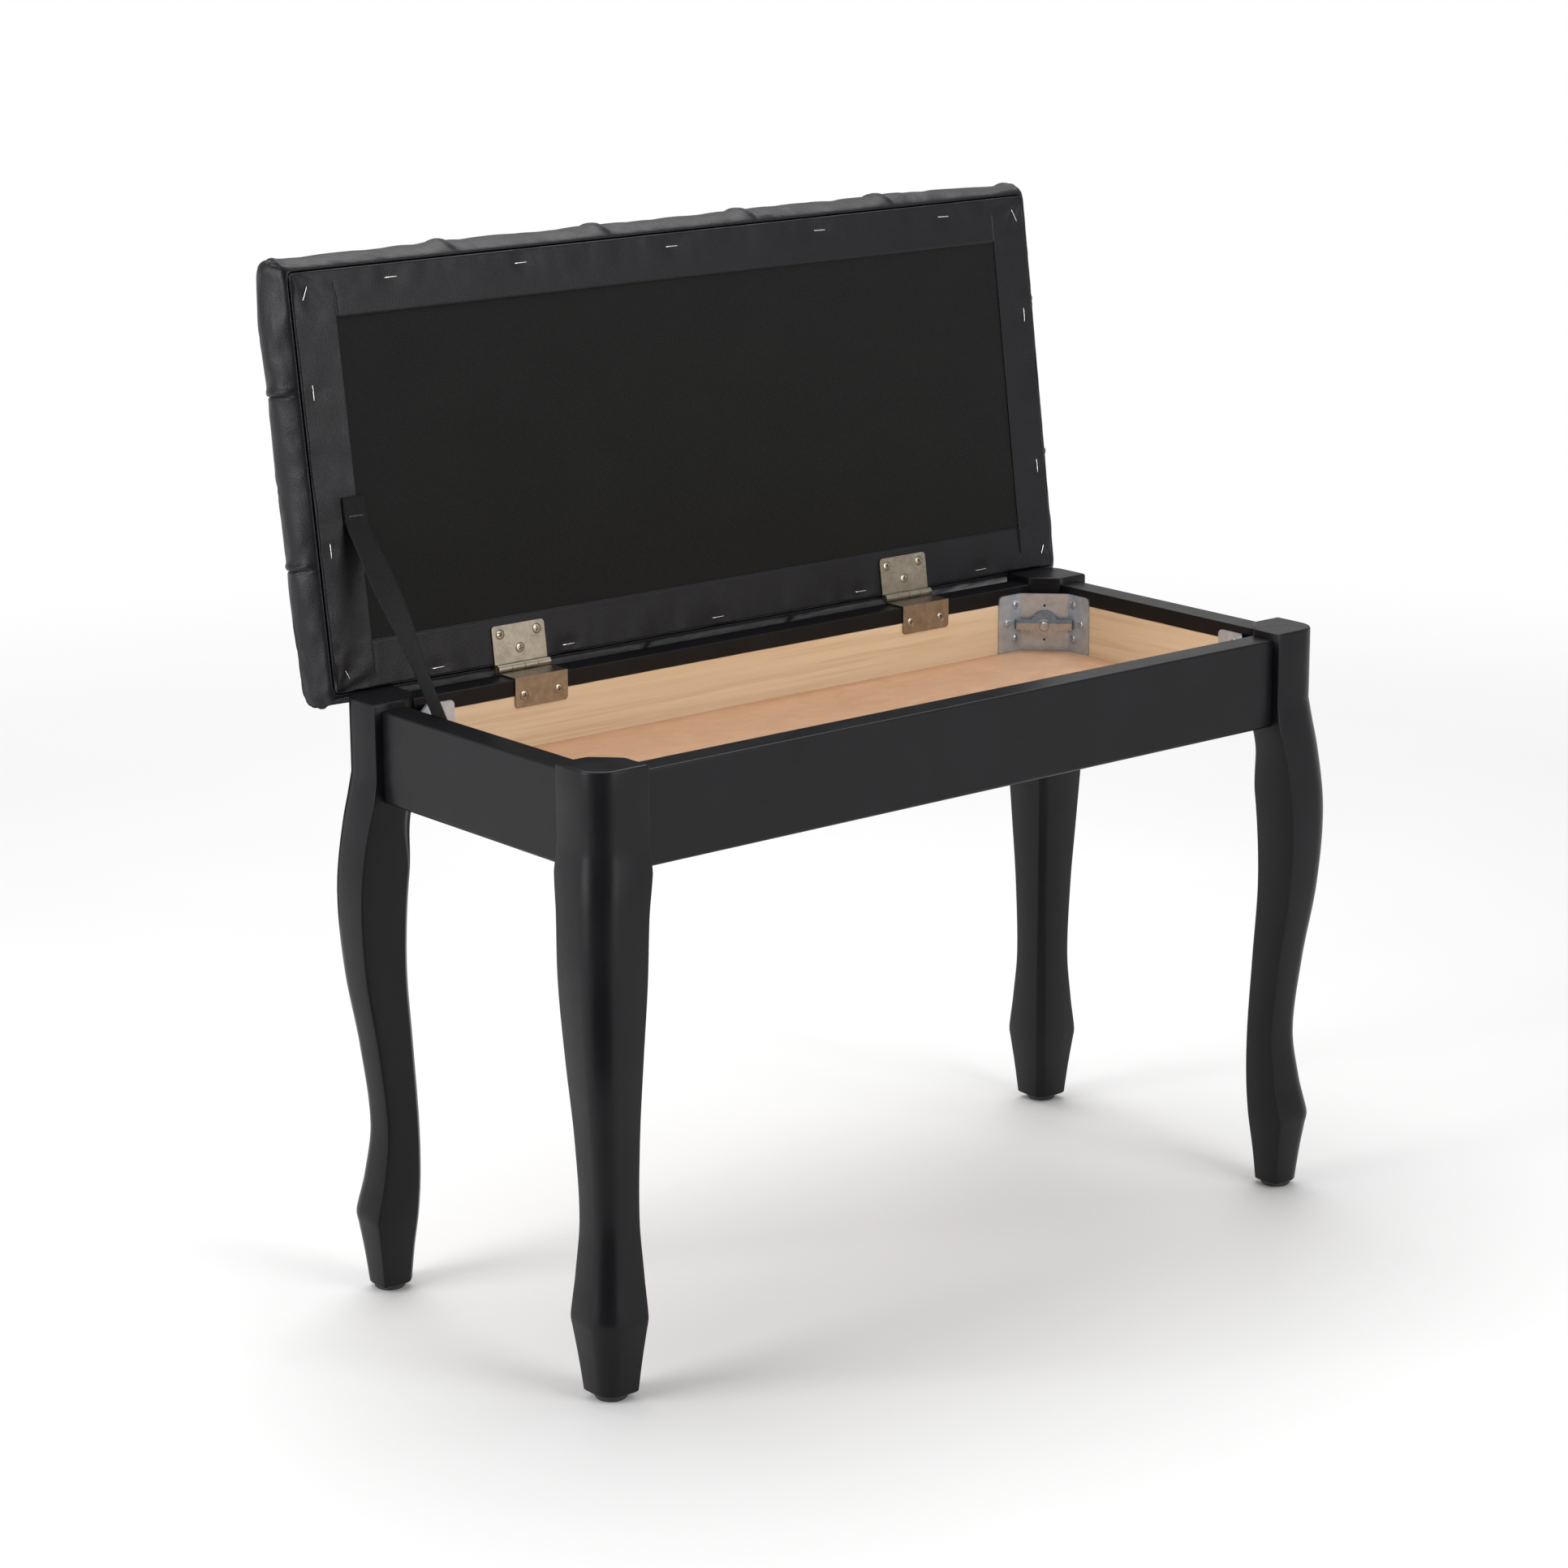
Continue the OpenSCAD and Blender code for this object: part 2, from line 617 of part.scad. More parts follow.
leg(-1, -1);  // leg_front_left
leg(1, -1);  // leg_front_right
leg(-1, 1);  // leg_back_left
leg(1, 1);  // leg_back_right
glide(-1, -1);  // glide_front_left
glide(1, -1);  // glide_front_right
glide(-1, 1);  // glide_back_left
glide(1, 1);  // glide_back_right
glide_nails();
long_rail(-1);  // rail_front
long_rail(1);  // rail_back
side_rail(-1);  // rail_left
side_rail(1);  // rail_right
floor_panel();
bracket(-1, -1);  // bracket_front_left
bracket(1, -1);  // bracket_front_right
bracket(-1, 1);  // bracket_back_left
bracket(1, 1);  // bracket_back_right
hanger_bolt(-1, -1);  // hanger_bolt_front_left
hanger_bolt(1, -1);  // hanger_bolt_front_right
hanger_bolt(-1, 1);  // hanger_bolt_back_left
hanger_bolt(1, 1);  // hanger_bolt_back_right
wing_nut(-1, -1);  // wing_nut_front_left
wing_nut(1, -1);  // wing_nut_front_right
wing_nut(-1, 1);  // wing_nut_back_left
wing_nut(1, 1);  // wing_nut_back_right
bracket_screws();
lower_leaf(-1);  // hinge_left_lower_leaf
upper_leaf(-1);  // hinge_left_upper_leaf
hinge_pin(-1);  // hinge_left_pin
lower_leaf(1);  // hinge_right_lower_leaf
upper_leaf(1);  // hinge_right_upper_leaf
hinge_pin(1);  // hinge_right_pin
hinge_rail_screws();
hinge_lid_screws();
lid_board();
lid_foam();
lid_cover();
lid_dust_cover();
lid_staples();
lid_buttons();
strap();
strap_lid_end();
strap_rail_staple();
strap_lid_staple();
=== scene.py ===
"""Piano bench: looks, floor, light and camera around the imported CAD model."""
import json
import math

import bpy
import numpy as np
from mathutils import Matrix, Vector, noise


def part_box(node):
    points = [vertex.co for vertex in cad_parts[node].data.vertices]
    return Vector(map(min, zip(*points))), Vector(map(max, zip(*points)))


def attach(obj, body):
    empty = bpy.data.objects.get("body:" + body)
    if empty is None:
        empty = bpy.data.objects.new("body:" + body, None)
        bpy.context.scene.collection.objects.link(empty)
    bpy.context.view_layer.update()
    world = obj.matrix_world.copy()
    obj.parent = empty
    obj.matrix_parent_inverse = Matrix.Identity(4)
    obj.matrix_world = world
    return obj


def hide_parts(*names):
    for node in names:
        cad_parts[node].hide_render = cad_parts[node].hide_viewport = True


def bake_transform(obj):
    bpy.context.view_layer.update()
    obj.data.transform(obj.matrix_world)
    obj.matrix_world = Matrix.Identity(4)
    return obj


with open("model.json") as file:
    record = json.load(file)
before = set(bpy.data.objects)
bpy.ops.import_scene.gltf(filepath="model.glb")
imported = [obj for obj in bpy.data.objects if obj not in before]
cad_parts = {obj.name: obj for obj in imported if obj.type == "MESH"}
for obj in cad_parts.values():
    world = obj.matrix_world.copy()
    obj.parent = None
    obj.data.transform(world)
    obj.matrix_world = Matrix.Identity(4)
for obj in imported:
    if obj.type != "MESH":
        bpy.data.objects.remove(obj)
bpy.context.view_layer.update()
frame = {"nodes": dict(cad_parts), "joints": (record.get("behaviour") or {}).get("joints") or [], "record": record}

MM = 0.001

# ---------------------------------------------------------------- places taken from the frame

JOINT = frame["joints"][0]
HINGE = Vector(JOINT["pos_m"])
OPEN = math.radians(JOINT["range_deg"][1])
# Lid space: x along the bench, y = -v towards the lid's free edge, z = height above the hinge axis
LID = Matrix.Translation(HINGE) @ Matrix.Rotation(-OPEN, 4, "X")

MOUNTS = {m["name"]: Vector(m["pos_m"]) for m in frame["record"]["mounts"]}
FOOT_INSET = 17 * MM
FRONT_LEFT = MOUNTS["foot_front_left"] - Vector((FOOT_INSET, FOOT_INSET, 0))
BACK_RIGHT = MOUNTS["foot_back_right"] + Vector((FOOT_INSET, FOOT_INSET, 0))
MIDDLE = (FRONT_LEFT + BACK_RIGHT) / 2
HALF = (BACK_RIGHT - FRONT_LEFT) / 2
LEG_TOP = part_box("leg_front_left")[1].z
RAIL_BOTTOM, RAIL_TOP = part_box("rail_front")[0].z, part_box("rail_front")[1].z
INNER_X = -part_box("rail_left")[1].x
INNER_Y = MIDDLE.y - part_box("rail_front")[1].y
PANEL_BOTTOM, PANEL_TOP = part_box("floor_panel")[0].z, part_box("floor_panel")[1].z


# ---------------------------------------------------------------- shader helper

class Graph:
    """A material's node tree, with short names for the nodes used below."""

    def __init__(self, name):
        self.material = bpy.data.materials.new(name)
        self.material.use_nodes = True
        self.tree = self.material.node_tree
        self.shader = self.tree.nodes["Principled BSDF"]
        self.place = self.node("ShaderNodeTexCoord").outputs["Object"]

    def node(self, kind, **settings):
        made = self.tree.nodes.new(kind)
        for key, value in settings.items():
            setattr(made, key, value)
        return made

    def feed(self, socket, value):
        if isinstance(value, bpy.types.NodeSocket):
            self.tree.links.new(value, socket)
        else:
            socket.default_value = value

    def noise(self, size, detail=3.0, rough=0.5, distortion=0.0):
        """Noise whose features are about size metres across, or size along each axis."""
        sizes = size if hasattr(size, "__len__") else (size,) * 3
        mapping = self.node("ShaderNodeMapping")
        self.feed(mapping.inputs["Vector"], self.place)
        mapping.inputs["Scale"].default_value = [1 / s for s in sizes]
        made = self.node("ShaderNodeTexNoise")
        made.inputs["Scale"].default_value = 1.0
        made.inputs["Detail"].default_value = detail
        made.inputs["Roughness"].default_value = rough
        made.inputs["Distortion"].default_value = distortion
        self.feed(made.inputs["Vector"], mapping.outputs["Vector"])
        return made.outputs["Fac"]

    def cells(self, size, feature="F1", output="Distance"):
        made = self.node("ShaderNodeTexVoronoi", feature=feature)
        made.inputs["Scale"].default_value = 1 / size
        self.feed(made.inputs["Vector"], self.place)
        return made.outputs[output]

    def axis(self, name):
        split = self.node("ShaderNodeSeparateXYZ")
        self.feed(split.inputs[0], self.place)
        return split.outputs[name]

    def calc(self, operation, a, b=0.0):
        made = self.node("ShaderNodeMath", operation=operation)
        self.feed(made.inputs[0], a)
        self.feed(made.inputs[1], b)
        return made.outputs[0]

    def step(self, value, low, high):
        """0 below low, 1 above high, smooth in between."""
        made = self.node("ShaderNodeMapRange", interpolation_type="SMOOTHSTEP", clamp=True)
        self.feed(made.inputs["Value"], value)
        self.feed(made.inputs["From Min"], low)
        self.feed(made.inputs["From Max"], high)
        return made.outputs["Result"]

    def spread(self, value, low, high):
        """A noise value from about 0.3 to 0.7 stretched to run from low to high."""
        made = self.node("ShaderNodeMapRange", clamp=True)
        self.feed(made.inputs["Value"], value)
        for name, number in (("From Min", 0.3), ("From Max", 0.7), ("To Min", low), ("To Max", high)):
            self.feed(made.inputs[name], number)
        return made.outputs["Result"]

    def mix(self, factor, a, b):
        made = self.node("ShaderNodeMix", data_type="RGBA")
        self.feed(made.inputs["Factor"], factor)
        for name, value in (("A", a), ("B", b)):
            socket = next(s for s in made.inputs if s.name == name and s.type == "RGBA")
            self.feed(socket, value if isinstance(value, bpy.types.NodeSocket) else (*value, 1))
        return next(s for s in made.outputs if s.type == "RGBA")

    def bump(self, height, distance, strength=1.0, normal=None):
        made = self.node("ShaderNodeBump")
        made.inputs["Strength"].default_value = strength
        made.inputs["Distance"].default_value = distance
        self.feed(made.inputs["Height"], height)
        if normal is not None:
            self.feed(made.inputs["Normal"], normal)
        return made.outputs["Normal"]

    def finish(self, colour, roughness, normal=None, **constants):
        self.feed(self.shader.inputs["Base Color"], colour)
        self.feed(self.shader.inputs["Roughness"], roughness)
        if normal is not None:
            self.feed(self.shader.inputs["Normal"], normal)
        for name, value in constants.items():
            self.shader.inputs[name.replace("_", " ")].default_value = value
        return self.material


# ---------------------------------------------------------------- materials

PAINT_DARK = (0.0046, 0.0047, 0.0058)
PAINT_LIGHT = (0.0068, 0.0069, 0.0086)
PAINT_SPECULAR = 0.20


def paint_layers(g):
    """Satin black paint over wood: colour, roughness and relief."""
    cloud = g.noise(0.05, 4)
    fine = g.noise(0.0012, 3)
    peel = g.noise(0.004, 2)
    colour = g.mix(g.spread(cloud, 0, 1), PAINT_DARK, PAINT_LIGHT)
    roughness = g.spread(g.noise(0.02, 5, 0.6), 0.30, 0.38)
    normal = g.bump(peel, 0.00012, 0.6, g.bump(fine, 0.00003, 0.6))
    return colour, roughness, normal


def black_paint():
    g = Graph("satin_black_paint")
    colour, roughness, normal = paint_layers(g)
    return g.finish(colour, roughness, normal, Specular_IOR_Level=PAINT_SPECULAR)


def rail_finish(name, along_x):
    """Black paint outside and over the top, bare pine on the face inside the storage box."""
    g = Graph(name)
    paint, paint_rough, paint_normal = paint_layers(g)
    size = (0.22, 0.02, 0.0055) if along_x else (0.02, 0.22, 0.0055)
    rings = g.noise(size, 3, 0.5, distortion=0.25)
    late = g.step(g.noise([s * 0.8 for s in size], 2, 0.4, distortion=0.3), 0.54, 0.62)
    broad = g.noise([s * 5 for s in size], 2)
    pores = g.noise([s * 0.12 for s in size], 2)
    pale = g.mix(g.spread(rings, 0, 1), (0.86, 0.70, 0.50), (0.76, 0.585, 0.385))
    warm = g.mix(g.spread(broad, 0, 0.5), pale, (0.88, 0.69, 0.47))
    figured = g.mix(g.calc("MULTIPLY", late, 0.42), warm, (0.70, 0.49, 0.29))
    wood = g.mix(g.spread(pores, 0, 0.16), figured, (0.56, 0.39, 0.23))
    wood_rough = g.spread(rings, 0.55, 0.68)
    wood_normal = g.bump(pores, 0.0001, 0.5)

    x, y, z = (g.axis(n) for n in "XYZ")
    off_middle = g.calc("ABSOLUTE", g.calc("SUBTRACT", y, MIDDLE.y))
    slack = 0.4 * MM
    inside = g.calc(
        "MULTIPLY",
        g.calc("LESS_THAN", g.calc("ABSOLUTE", x), INNER_X + slack),
        g.calc("LESS_THAN", off_middle, INNER_Y + slack))
    wander = g.calc("MULTIPLY", g.calc("SUBTRACT", g.noise(0.03, 3), 0.5), 0.7 * MM)
    edge = g.calc("ADD", wander, RAIL_TOP - 12.5 * MM)
    below_paint = g.calc("SUBTRACT", 1.0, g.step(g.calc("SUBTRACT", z, edge), -0.5 * MM, 0.3 * MM))
    above_panel = g.calc("GREATER_THAN", z, PANEL_BOTTOM)
    bare = g.calc("MULTIPLY", inside, g.calc("MULTIPLY", below_paint, above_panel))

    colour = g.mix(bare, paint, wood)
    change = g.calc("SUBTRACT", wood_rough, paint_rough)
    roughness = g.calc("ADD", paint_rough, g.calc("MULTIPLY", bare, change))
    choose = g.node("ShaderNodeMix", data_type="VECTOR")
    g.feed(choose.inputs["Factor"], bare)
    vectors = [s for s in choose.inputs if s.type == "VECTOR"]
    g.feed(vectors[0], paint_normal)
    g.feed(vectors[1], wood_normal)
    normal = next(s for s in choose.outputs if s.type == "VECTOR")
    return g.finish(colour, roughness, normal, Specular_IOR_Level=PAINT_SPECULAR)


def hardboard():
    """Smooth tan face with short matted fibres; the underside has a pressed screen pattern."""
    g = Graph("hardboard")
    fibres = g.noise((0.0022, 0.0007, 0.001), 4, 0.65)
    crossed = g.noise((0.0007, 0.0022, 0.001), 4, 0.65)
    swirl = g.noise((0.03, 0.018, 0.02), 4, 0.6, distortion=1.5)
    flecks = g.step(g.noise(0.0016, 2), 0.66, 0.74)
    tone = g.mix(g.spread(swirl, 0, 1), (0.60, 0.350, 0.205), (0.72, 0.455, 0.290))
    matted = g.mix(g.spread(g.calc("MAXIMUM", fibres, crossed), 0, 0.4), tone, (0.50, 0.275, 0.15))
    top = g.mix(g.calc("MULTIPLY", flecks, 0.35), matted, (0.36, 0.19, 0.10))
    mesh_waves = 2 * math.pi / (1.6 * MM)
    across_x, across_y = (g.calc("SINE", g.calc("MULTIPLY", g.axis(n), mesh_waves)) for n in "XY")
    screen = g.calc("MULTIPLY", across_x, across_y)
    middle = (PANEL_BOTTOM + PANEL_TOP) / 2
    underside = g.calc("LESS_THAN", g.axis("Z"), middle)
    raised = g.calc("MULTIPLY", g.calc("ADD", screen, 1.0), 0.5)
    rough_side = g.mix(raised, (0.23, 0.125, 0.06), (0.34, 0.19, 0.10))
    colour = g.mix(underside, top, rough_side)
    relief = g.calc("ADD", g.calc("MULTIPLY", fibres, 0.3), g.calc("MULTIPLY", underside, screen))
    roughness = g.calc("ADD", g.spread(swirl, 0.48, 0.62), g.calc("MULTIPLY", underside, 0.25))
    return g.finish(colour, roughness, g.bump(relief, 0.00015, 0.5))


def plywood():
    g = Graph("plywood")
    grain = g.noise((0.2, 0.004, 0.002), 4)
    colour = g.mix(g.spread(grain, 0, 1), (0.62, 0.43, 0.25), (0.45, 0.28, 0.14))
    return g.finish(colour, g.spread(grain, 0.6, 0.75), g.bump(grain, 0.0002, 0.5))


def black_leather():
    """Imitation leather: fine pebbled grain, blue-black, a little polished on the high spots."""
    g = Graph("black_leather")
    pebble = g.cells(0.0011, "SMOOTH_F1")
    pores = g.noise(0.0005, 3)
    drift = g.noise(0.06, 4, 0.6)
    handled = g.noise(0.018, 4, 0.6)
    colour = g.mix(g.spread(drift, 0, 1), (0.0038, 0.0038, 0.0058), (0.0070, 0.0069, 0.0102))
    roughness = g.calc("ADD", g.spread(handled, 0.33, 0.44), g.calc("MULTIPLY", pebble, 0.12))
    relief = g.bump(pebble, 0.00022, 0.6, g.bump(pores, 0.00006, 0.5))
    soft = g.bump(g.noise((0.03, 0.03, 0.012), 3, 0.55), 0.0005, 0.5, relief)
    return g.finish(colour, roughness, soft, Specular_IOR_Level=0.26)


def dust_cloth():
    """Black non-woven cloth embossed with diagonal rows of dots."""
    g = Graph("dust_cloth")
    pitch = 1.9 * MM
    waves = 2 * math.pi / pitch / math.sqrt(2)
    x, y = g.axis("X"), g.axis("Y")
    diagonals = [g.calc(way, x, y) for way in ("ADD", "SUBTRACT")]
    along, across = (g.calc("SINE", g.calc("MULTIPLY", d, waves)) for d in diagonals)
    checks = g.calc("MULTIPLY", g.calc("ADD", g.calc("MULTIPLY", along, across), 1.0), 0.5)
    dots = g.calc("POWER", checks, 1.6)
    lint = g.noise(0.0006, 3)
    cloud = g.noise((0.09, 0.05, 0.09), 4, 0.55, distortion=0.6)
    ground = g.mix(g.spread(cloud, 0, 1), (0.0030, 0.0032, 0.0032), (0.0095, 0.0099, 0.0098))
    dotted = g.mix(g.calc("MULTIPLY", dots, 0.8), ground, (0.027, 0.028, 0.0275))
    colour = g.mix(g.spread(lint, 0, 0.25), dotted, (0.014, 0.0148, 0.0148))
    roughness = g.spread(cloud, 0.78, 0.9)
    normal = g.bump(dots, 0.00025, 0.6, g.bump(lint, 0.0001, 0.5))
    return g.finish(colour, roughness, normal, Specular_IOR_Level=0.15)


def webbing():
    """Woven polypropylene band: herringbone ribs and a satin face."""
    g = Graph("webbing")
    along = g.node("ShaderNodeUVMap", uv_map="band").outputs["UV"]
    split = g.node("ShaderNodeSeparateXYZ")
    g.feed(split.inputs[0], along)
    across, length = split.outputs["X"], split.outputs["Y"]
    rib = g.calc("SINE", g.calc("MULTIPLY", across, 2 * math.pi / (1.5 * MM)))
    lean = g.calc("MULTIPLY", g.calc("ABSOLUTE", rib), 0.9 * MM)
    twill = g.calc("SINE", g.calc("MULTIPLY", g.calc("ADD", length, lean), 2 * math.pi / (1.25 * MM)))
    weave = g.calc("ADD", g.calc("MULTIPLY", rib, 0.5), g.calc("MULTIPLY", twill, 0.35))
    fuzz = g.noise(0.0008, 3)
    colour = g.mix(g.step(weave, -0.8, 0.8), (0.0022, 0.0022, 0.0028), (0.0075, 0.0075, 0.0092))
    return g.finish(colour, g.spread(fuzz, 0.42, 0.6), g.bump(weave, 0.0002, 0.7, g.bump(fuzz, 0.00006, 0.4)),
                    Specular_IOR_Level=0.2)


def black_plastic():
    g = Graph("black_plastic")
    pits = g.noise(0.0009, 3)
    scuffs = g.noise((0.004, 0.004, 0.0008), 4, 0.7)
    colour = g.mix(g.spread(scuffs, 0, 0.6), (0.012, 0.012, 0.012), (0.045, 0.045, 0.043))
    return g.finish(colour, g.spread(scuffs, 0.42, 0.62), g.bump(pits, 0.00008, 0.5))


def metal(name, light, dark, rough_low, rough_high, spangle=0.006, metallic=1.0):
    """Plated steel: cloudy plating, fine speckle and faint rolling marks."""
    g = Graph(name)
    grey = g.cells(spangle, "F1", "Color")
    cloud = g.noise(0.008, 4, 0.6)
    speckle = g.noise(0.0006, 4, 0.7)
    rolled = g.noise((0.02, 0.02, 0.0006), 3, 0.6)
    tone = g.calc("ADD", g.calc("MULTIPLY", grey, 0.25), g.spread(cloud, 0, 0.75))
    colour = g.mix(tone, dark, light)
    roughness = g.calc("ADD", g.spread(speckle, rough_low, rough_high), g.calc("MULTIPLY", rolled, 0.08))
    normal = g.bump(speckle, 0.00003, 0.7, g.bump(cloud, 0.0003, 0.35))
    return g.finish(colour, roughness, normal, Metallic=metallic)


def staple_wire(name, light, dark):
    g = Graph(name)
    drawn = g.noise(0.0008, 3)
    colour = g.mix(g.spread(drawn, 0, 1), light, dark)
    return g.finish(colour, g.spread(drawn, 0.16, 0.3), g.bump(drawn, 0.00004, 0.4), Metallic=1.0)


def foam():
    g = Graph("foam")
    pores = g.cells(0.0015)
    colour = g.mix(pores, (0.75, 0.66, 0.36), (0.55, 0.45, 0.2))
    return g.finish(colour, g.spread(g.noise(0.01), 0.85, 0.95), g.bump(pores, 0.0006, 0.6))


MATERIALS = {
    "paint": black_paint(),
    "long_rail": rail_finish("rail_finish_long", True),
    "side_rail": rail_finish("rail_finish_side", False),
    "hardboard": hardboard(),
    "plywood": plywood(),
    "leather": black_leather(),
    "dust_cloth": dust_cloth(),
    "webbing": webbing(),
    "plastic": black_plastic(),
    "zinc": metal("zinc_plate", (0.62, 0.70, 0.79), (0.43, 0.50, 0.58), 0.26, 0.42, 0.006, 0.78),
    "bright_zinc": metal("bright_zinc_plate", (0.60, 0.64, 0.70), (0.42, 0.46, 0.53), 0.18, 0.32, 0.012, 0.9),
    "nickel": metal("nickel_plate", (0.42, 0.37, 0.30), (0.25, 0.22, 0.17), 0.20, 0.36, 0.003),
    "nickel_screw": metal("nickel_plated_screw", (0.50, 0.45, 0.37), (0.30, 0.27, 0.21), 0.22, 0.36, 0.002),
    "wire": staple_wire("staple_wire", (0.93, 0.93, 0.92), (0.80, 0.80, 0.79)),
    # The staple wire again, near black, for the staple through the strap's end
    "dark_wire": staple_wire("dark_staple_wire", (0.06, 0.06, 0.06), (0.02, 0.02, 0.02)),
    "foam": foam(),
}

NODE_FINISH = {
    "rail_front": "long_rail", "rail_back": "long_rail", "rail_left": "side_rail", "rail_right": "side_rail",
    "floor_panel": "hardboard", "glide_nails": "wire", "glide": "plastic", "bracket_screws": "bright_zinc",
    "bracket": "zinc", "hanger_bolt": "bright_zinc", "wing_nut": "bright_zinc", "hinge": "nickel",
    "lid_board": "plywood", "lid_foam": "foam", "lid_cover": "leather", "lid_buttons": "leather",
    "lid_dust_cover": "dust_cloth", "lid_staples": "wire", "strap_lid_staple": "dark_wire",
    "strap_rail_staple": "wire", "strap": "webbing", "leg": "paint",
}

# Radius of the worn edges of a finish's nodes, in mm
EDGE_ROUNDING = {"zinc": 0.25, "bright_zinc": 0.25, "nickel": 0.25, "long_rail": 1.3, "side_rail": 1.3}


def finish_of(node):
    """The finish whose key is the longest start of the node's name."""
    return NODE_FINISH[max((k for k in NODE_FINISH if node.startswith(k)), key=len)]


def dress_cad_nodes():
    for name, node in frame["nodes"].items():
        finish = finish_of(name)
        node.data.materials.clear()
        node.data.materials.append(MATERIALS[finish])
        if finish in EDGE_ROUNDING:
            bevel = node.modifiers.new("worn_edges", "BEVEL")
            bevel.width = EDGE_ROUNDING[finish] * MM
            bevel.segments = 3
            bevel.limit_method = "ANGLE"
            bevel.angle_limit = math.radians(40)
            bevel.harden_normals = True


# ---------------------------------------------------------------- mesh helpers

def make_mesh(name, points, faces, finish, matrix=None, crease_deg=None):
    mesh = bpy.data.meshes.new(name)
    mesh.from_pydata([tuple(p) for p in points], [], faces)
    mesh.validate()
    mesh.materials.append(MATERIALS[finish])
    made = bpy.data.objects.new(name, mesh)
    bpy.context.scene.collection.objects.link(made)
    mesh.shade_smooth()
    if crease_deg is not None:
        mesh.set_sharp_from_angle(angle=math.radians(crease_deg))
    if matrix is not None:
        made.matrix_world = matrix
    return made


def belongs(piece, body, slot, *replaced):
    """Fixes a piece to a body and hides the CAD nodes that it stands for; its slot is not used."""
    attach(piece, body)
    if replaced:
        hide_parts(*replaced)


def loft(rings, flip=False):
    """Faces over rings of equally many points, closed round, with flat ends."""
    n = len(rings[0])
    faces = []
    for k in range(len(rings) - 1):
        for i in range(n):
            j = (i + 1) % n
            faces.append((k * n + i, k * n + j, (k + 1) * n + j, (k + 1) * n + i))
    faces.append(tuple(range(n - 1, -1, -1)))
    faces.append(tuple((len(rings) - 1) * n + i for i in range(n)))
    if flip:
        faces = [f[::-1] for f in faces]
    return faces


def ease(u):
    c = min(max(u, 0.0), 1.0)
    return c * c * (3 - 2 * c)


def curve(table, z):
    """Smooth curve through the (height, value) rows of a table, constant past its last row."""
    if z >= table[-1][0]:
        return table[-1][1]
    i = max(k for k in range(len(table) - 1) if k == 0 or z >= table[k][0])

    def slope(k):
        a, b = table[max(k - 1, 0)], table[min(k + 1, len(table) - 1)]
        return (b[1] - a[1]) / (b[0] - a[0])

    h = table[i + 1][0] - table[i][0]
    u = (z - table[i][0]) / h
    return ((1 + 2 * u) * (1 - u) ** 2 * table[i][1] + u * (1 - u) ** 2 * h * slope(i)
            + u * u * (3 - 2 * u) * table[i + 1][1] - u * u * (1 - u) * h * slope(i + 1))


def arc(x, y, r, a0, a1, n):
    angles = [math.radians(a0 + (a1 - a0) * i / n) for i in range(n + 1)]
    return [(x + r * math.cos(a), y + r * math.sin(a)) for a in angles]


def grid_rim(nx, ny):
    """The outer points of a grid of nx by ny points, in order round it."""
    return ([(i, 0) for i in range(nx)] + [(nx - 1, j) for j in range(1, ny)]
            + [(i, ny - 1) for i in range(nx - 2, -1, -1)] + [(0, j) for j in range(ny - 2, 0, -1)])


def wobble(*p):
    """Smooth noise from -1 to 1 at a point."""
    return noise.noise(Vector(p))


# ---------------------------------------------------------------- legs

# Height, distance of the leg's outer and inner faces from the outer face of its block, in mm
LEG_OUTER = [(4, 3), (30, 0), (52, -3.3), (60, -4.6), (68, -3.4), (90, 1), (130, 5.5), (190, 1),
             (250, -6.5), (310, -9.5), (362, -5.5), (400, 0)]
LEG_INNER = [(4, 31), (30, 33), (60, 36), (90, 37.5), (130, 37.5), (190, 35.5), (250, 33.5),
             (310, 35.5), (350, 39.5), (381, 46)]
BLOCK_CHAMFER = 17.5
FOOT_CHAMFER = 5.0


def leg_outline(z, bevel):
    """Section of a leg at height z in mm, measured inwards from the block's outer corner."""
    o, i = curve(LEG_OUTER, z) + bevel, curve(LEG_INNER, z) - bevel
    w = i - o
    r = 0.42 * w
    # Stopped bevels run down the two side corners, widest at the ankle
    s = 1.6 + 2.6 * ease((330 - z) / 150) * ease((z - 20) / 60)
    rail_mm = RAIL_BOTTOM / MM
    c = FOOT_CHAMFER + (BLOCK_CHAMFER - FOOT_CHAMFER) * ease((z - rail_mm + 60) / 59)
    soft = 0.16 * c
    side_a = [(i - s, o), (i - 0.25 * s, o + 0.25 * s), (i, o + s)]
    side_b = [(o + s, i), (o + 0.25 * s, i - 0.25 * s), (o, i - s)]
    chamfer = [(i, i - c - soft), (i - 0.3 * soft, i - c), (i - c, i - 0.3 * soft), (i - c - soft, i)]
    return arc(o + r, o + r, r, 180, 270, 12) + side_a + chamfer + side_b


def carved_leg(sx, sy):
    name = f"{'back' if sy > 0 else 'front'}_{'right' if sx > 0 else 'left'}"
    top = LEG_TOP / MM
    heights = ([4, 4.5, 5.2] + list(np.arange(8, 398, 3))
               + [400, 428, top - 1.8, top - 1.1, top - 0.5, top - 0.15, top])
    bevels = [1.2, 0.5, 0] + [0] * (len(heights) - 7) + [0.15, 0.5, 1.1, 1.8]
    rings = [[(x, y, z) for x, y in leg_outline(z, b)] for z, b in zip(heights, bevels)]
    points = []
    for ring in rings:
        for x, y, z in ring:
            points.append((sx * (HALF.x - x * MM), MIDDLE.y + sy * (HALF.y - y * MM), z * MM))
    faces = loft(rings, flip=sx * sy < 0)
    leg = make_mesh(f"carved_leg_{name}", points, faces, "paint", crease_deg=33)
    for end in leg.data.polygons:
        if len(end.vertices) > 4:
            end.use_smooth = False
    belongs(leg, "frame", "black_paint", f"leg_{name}")


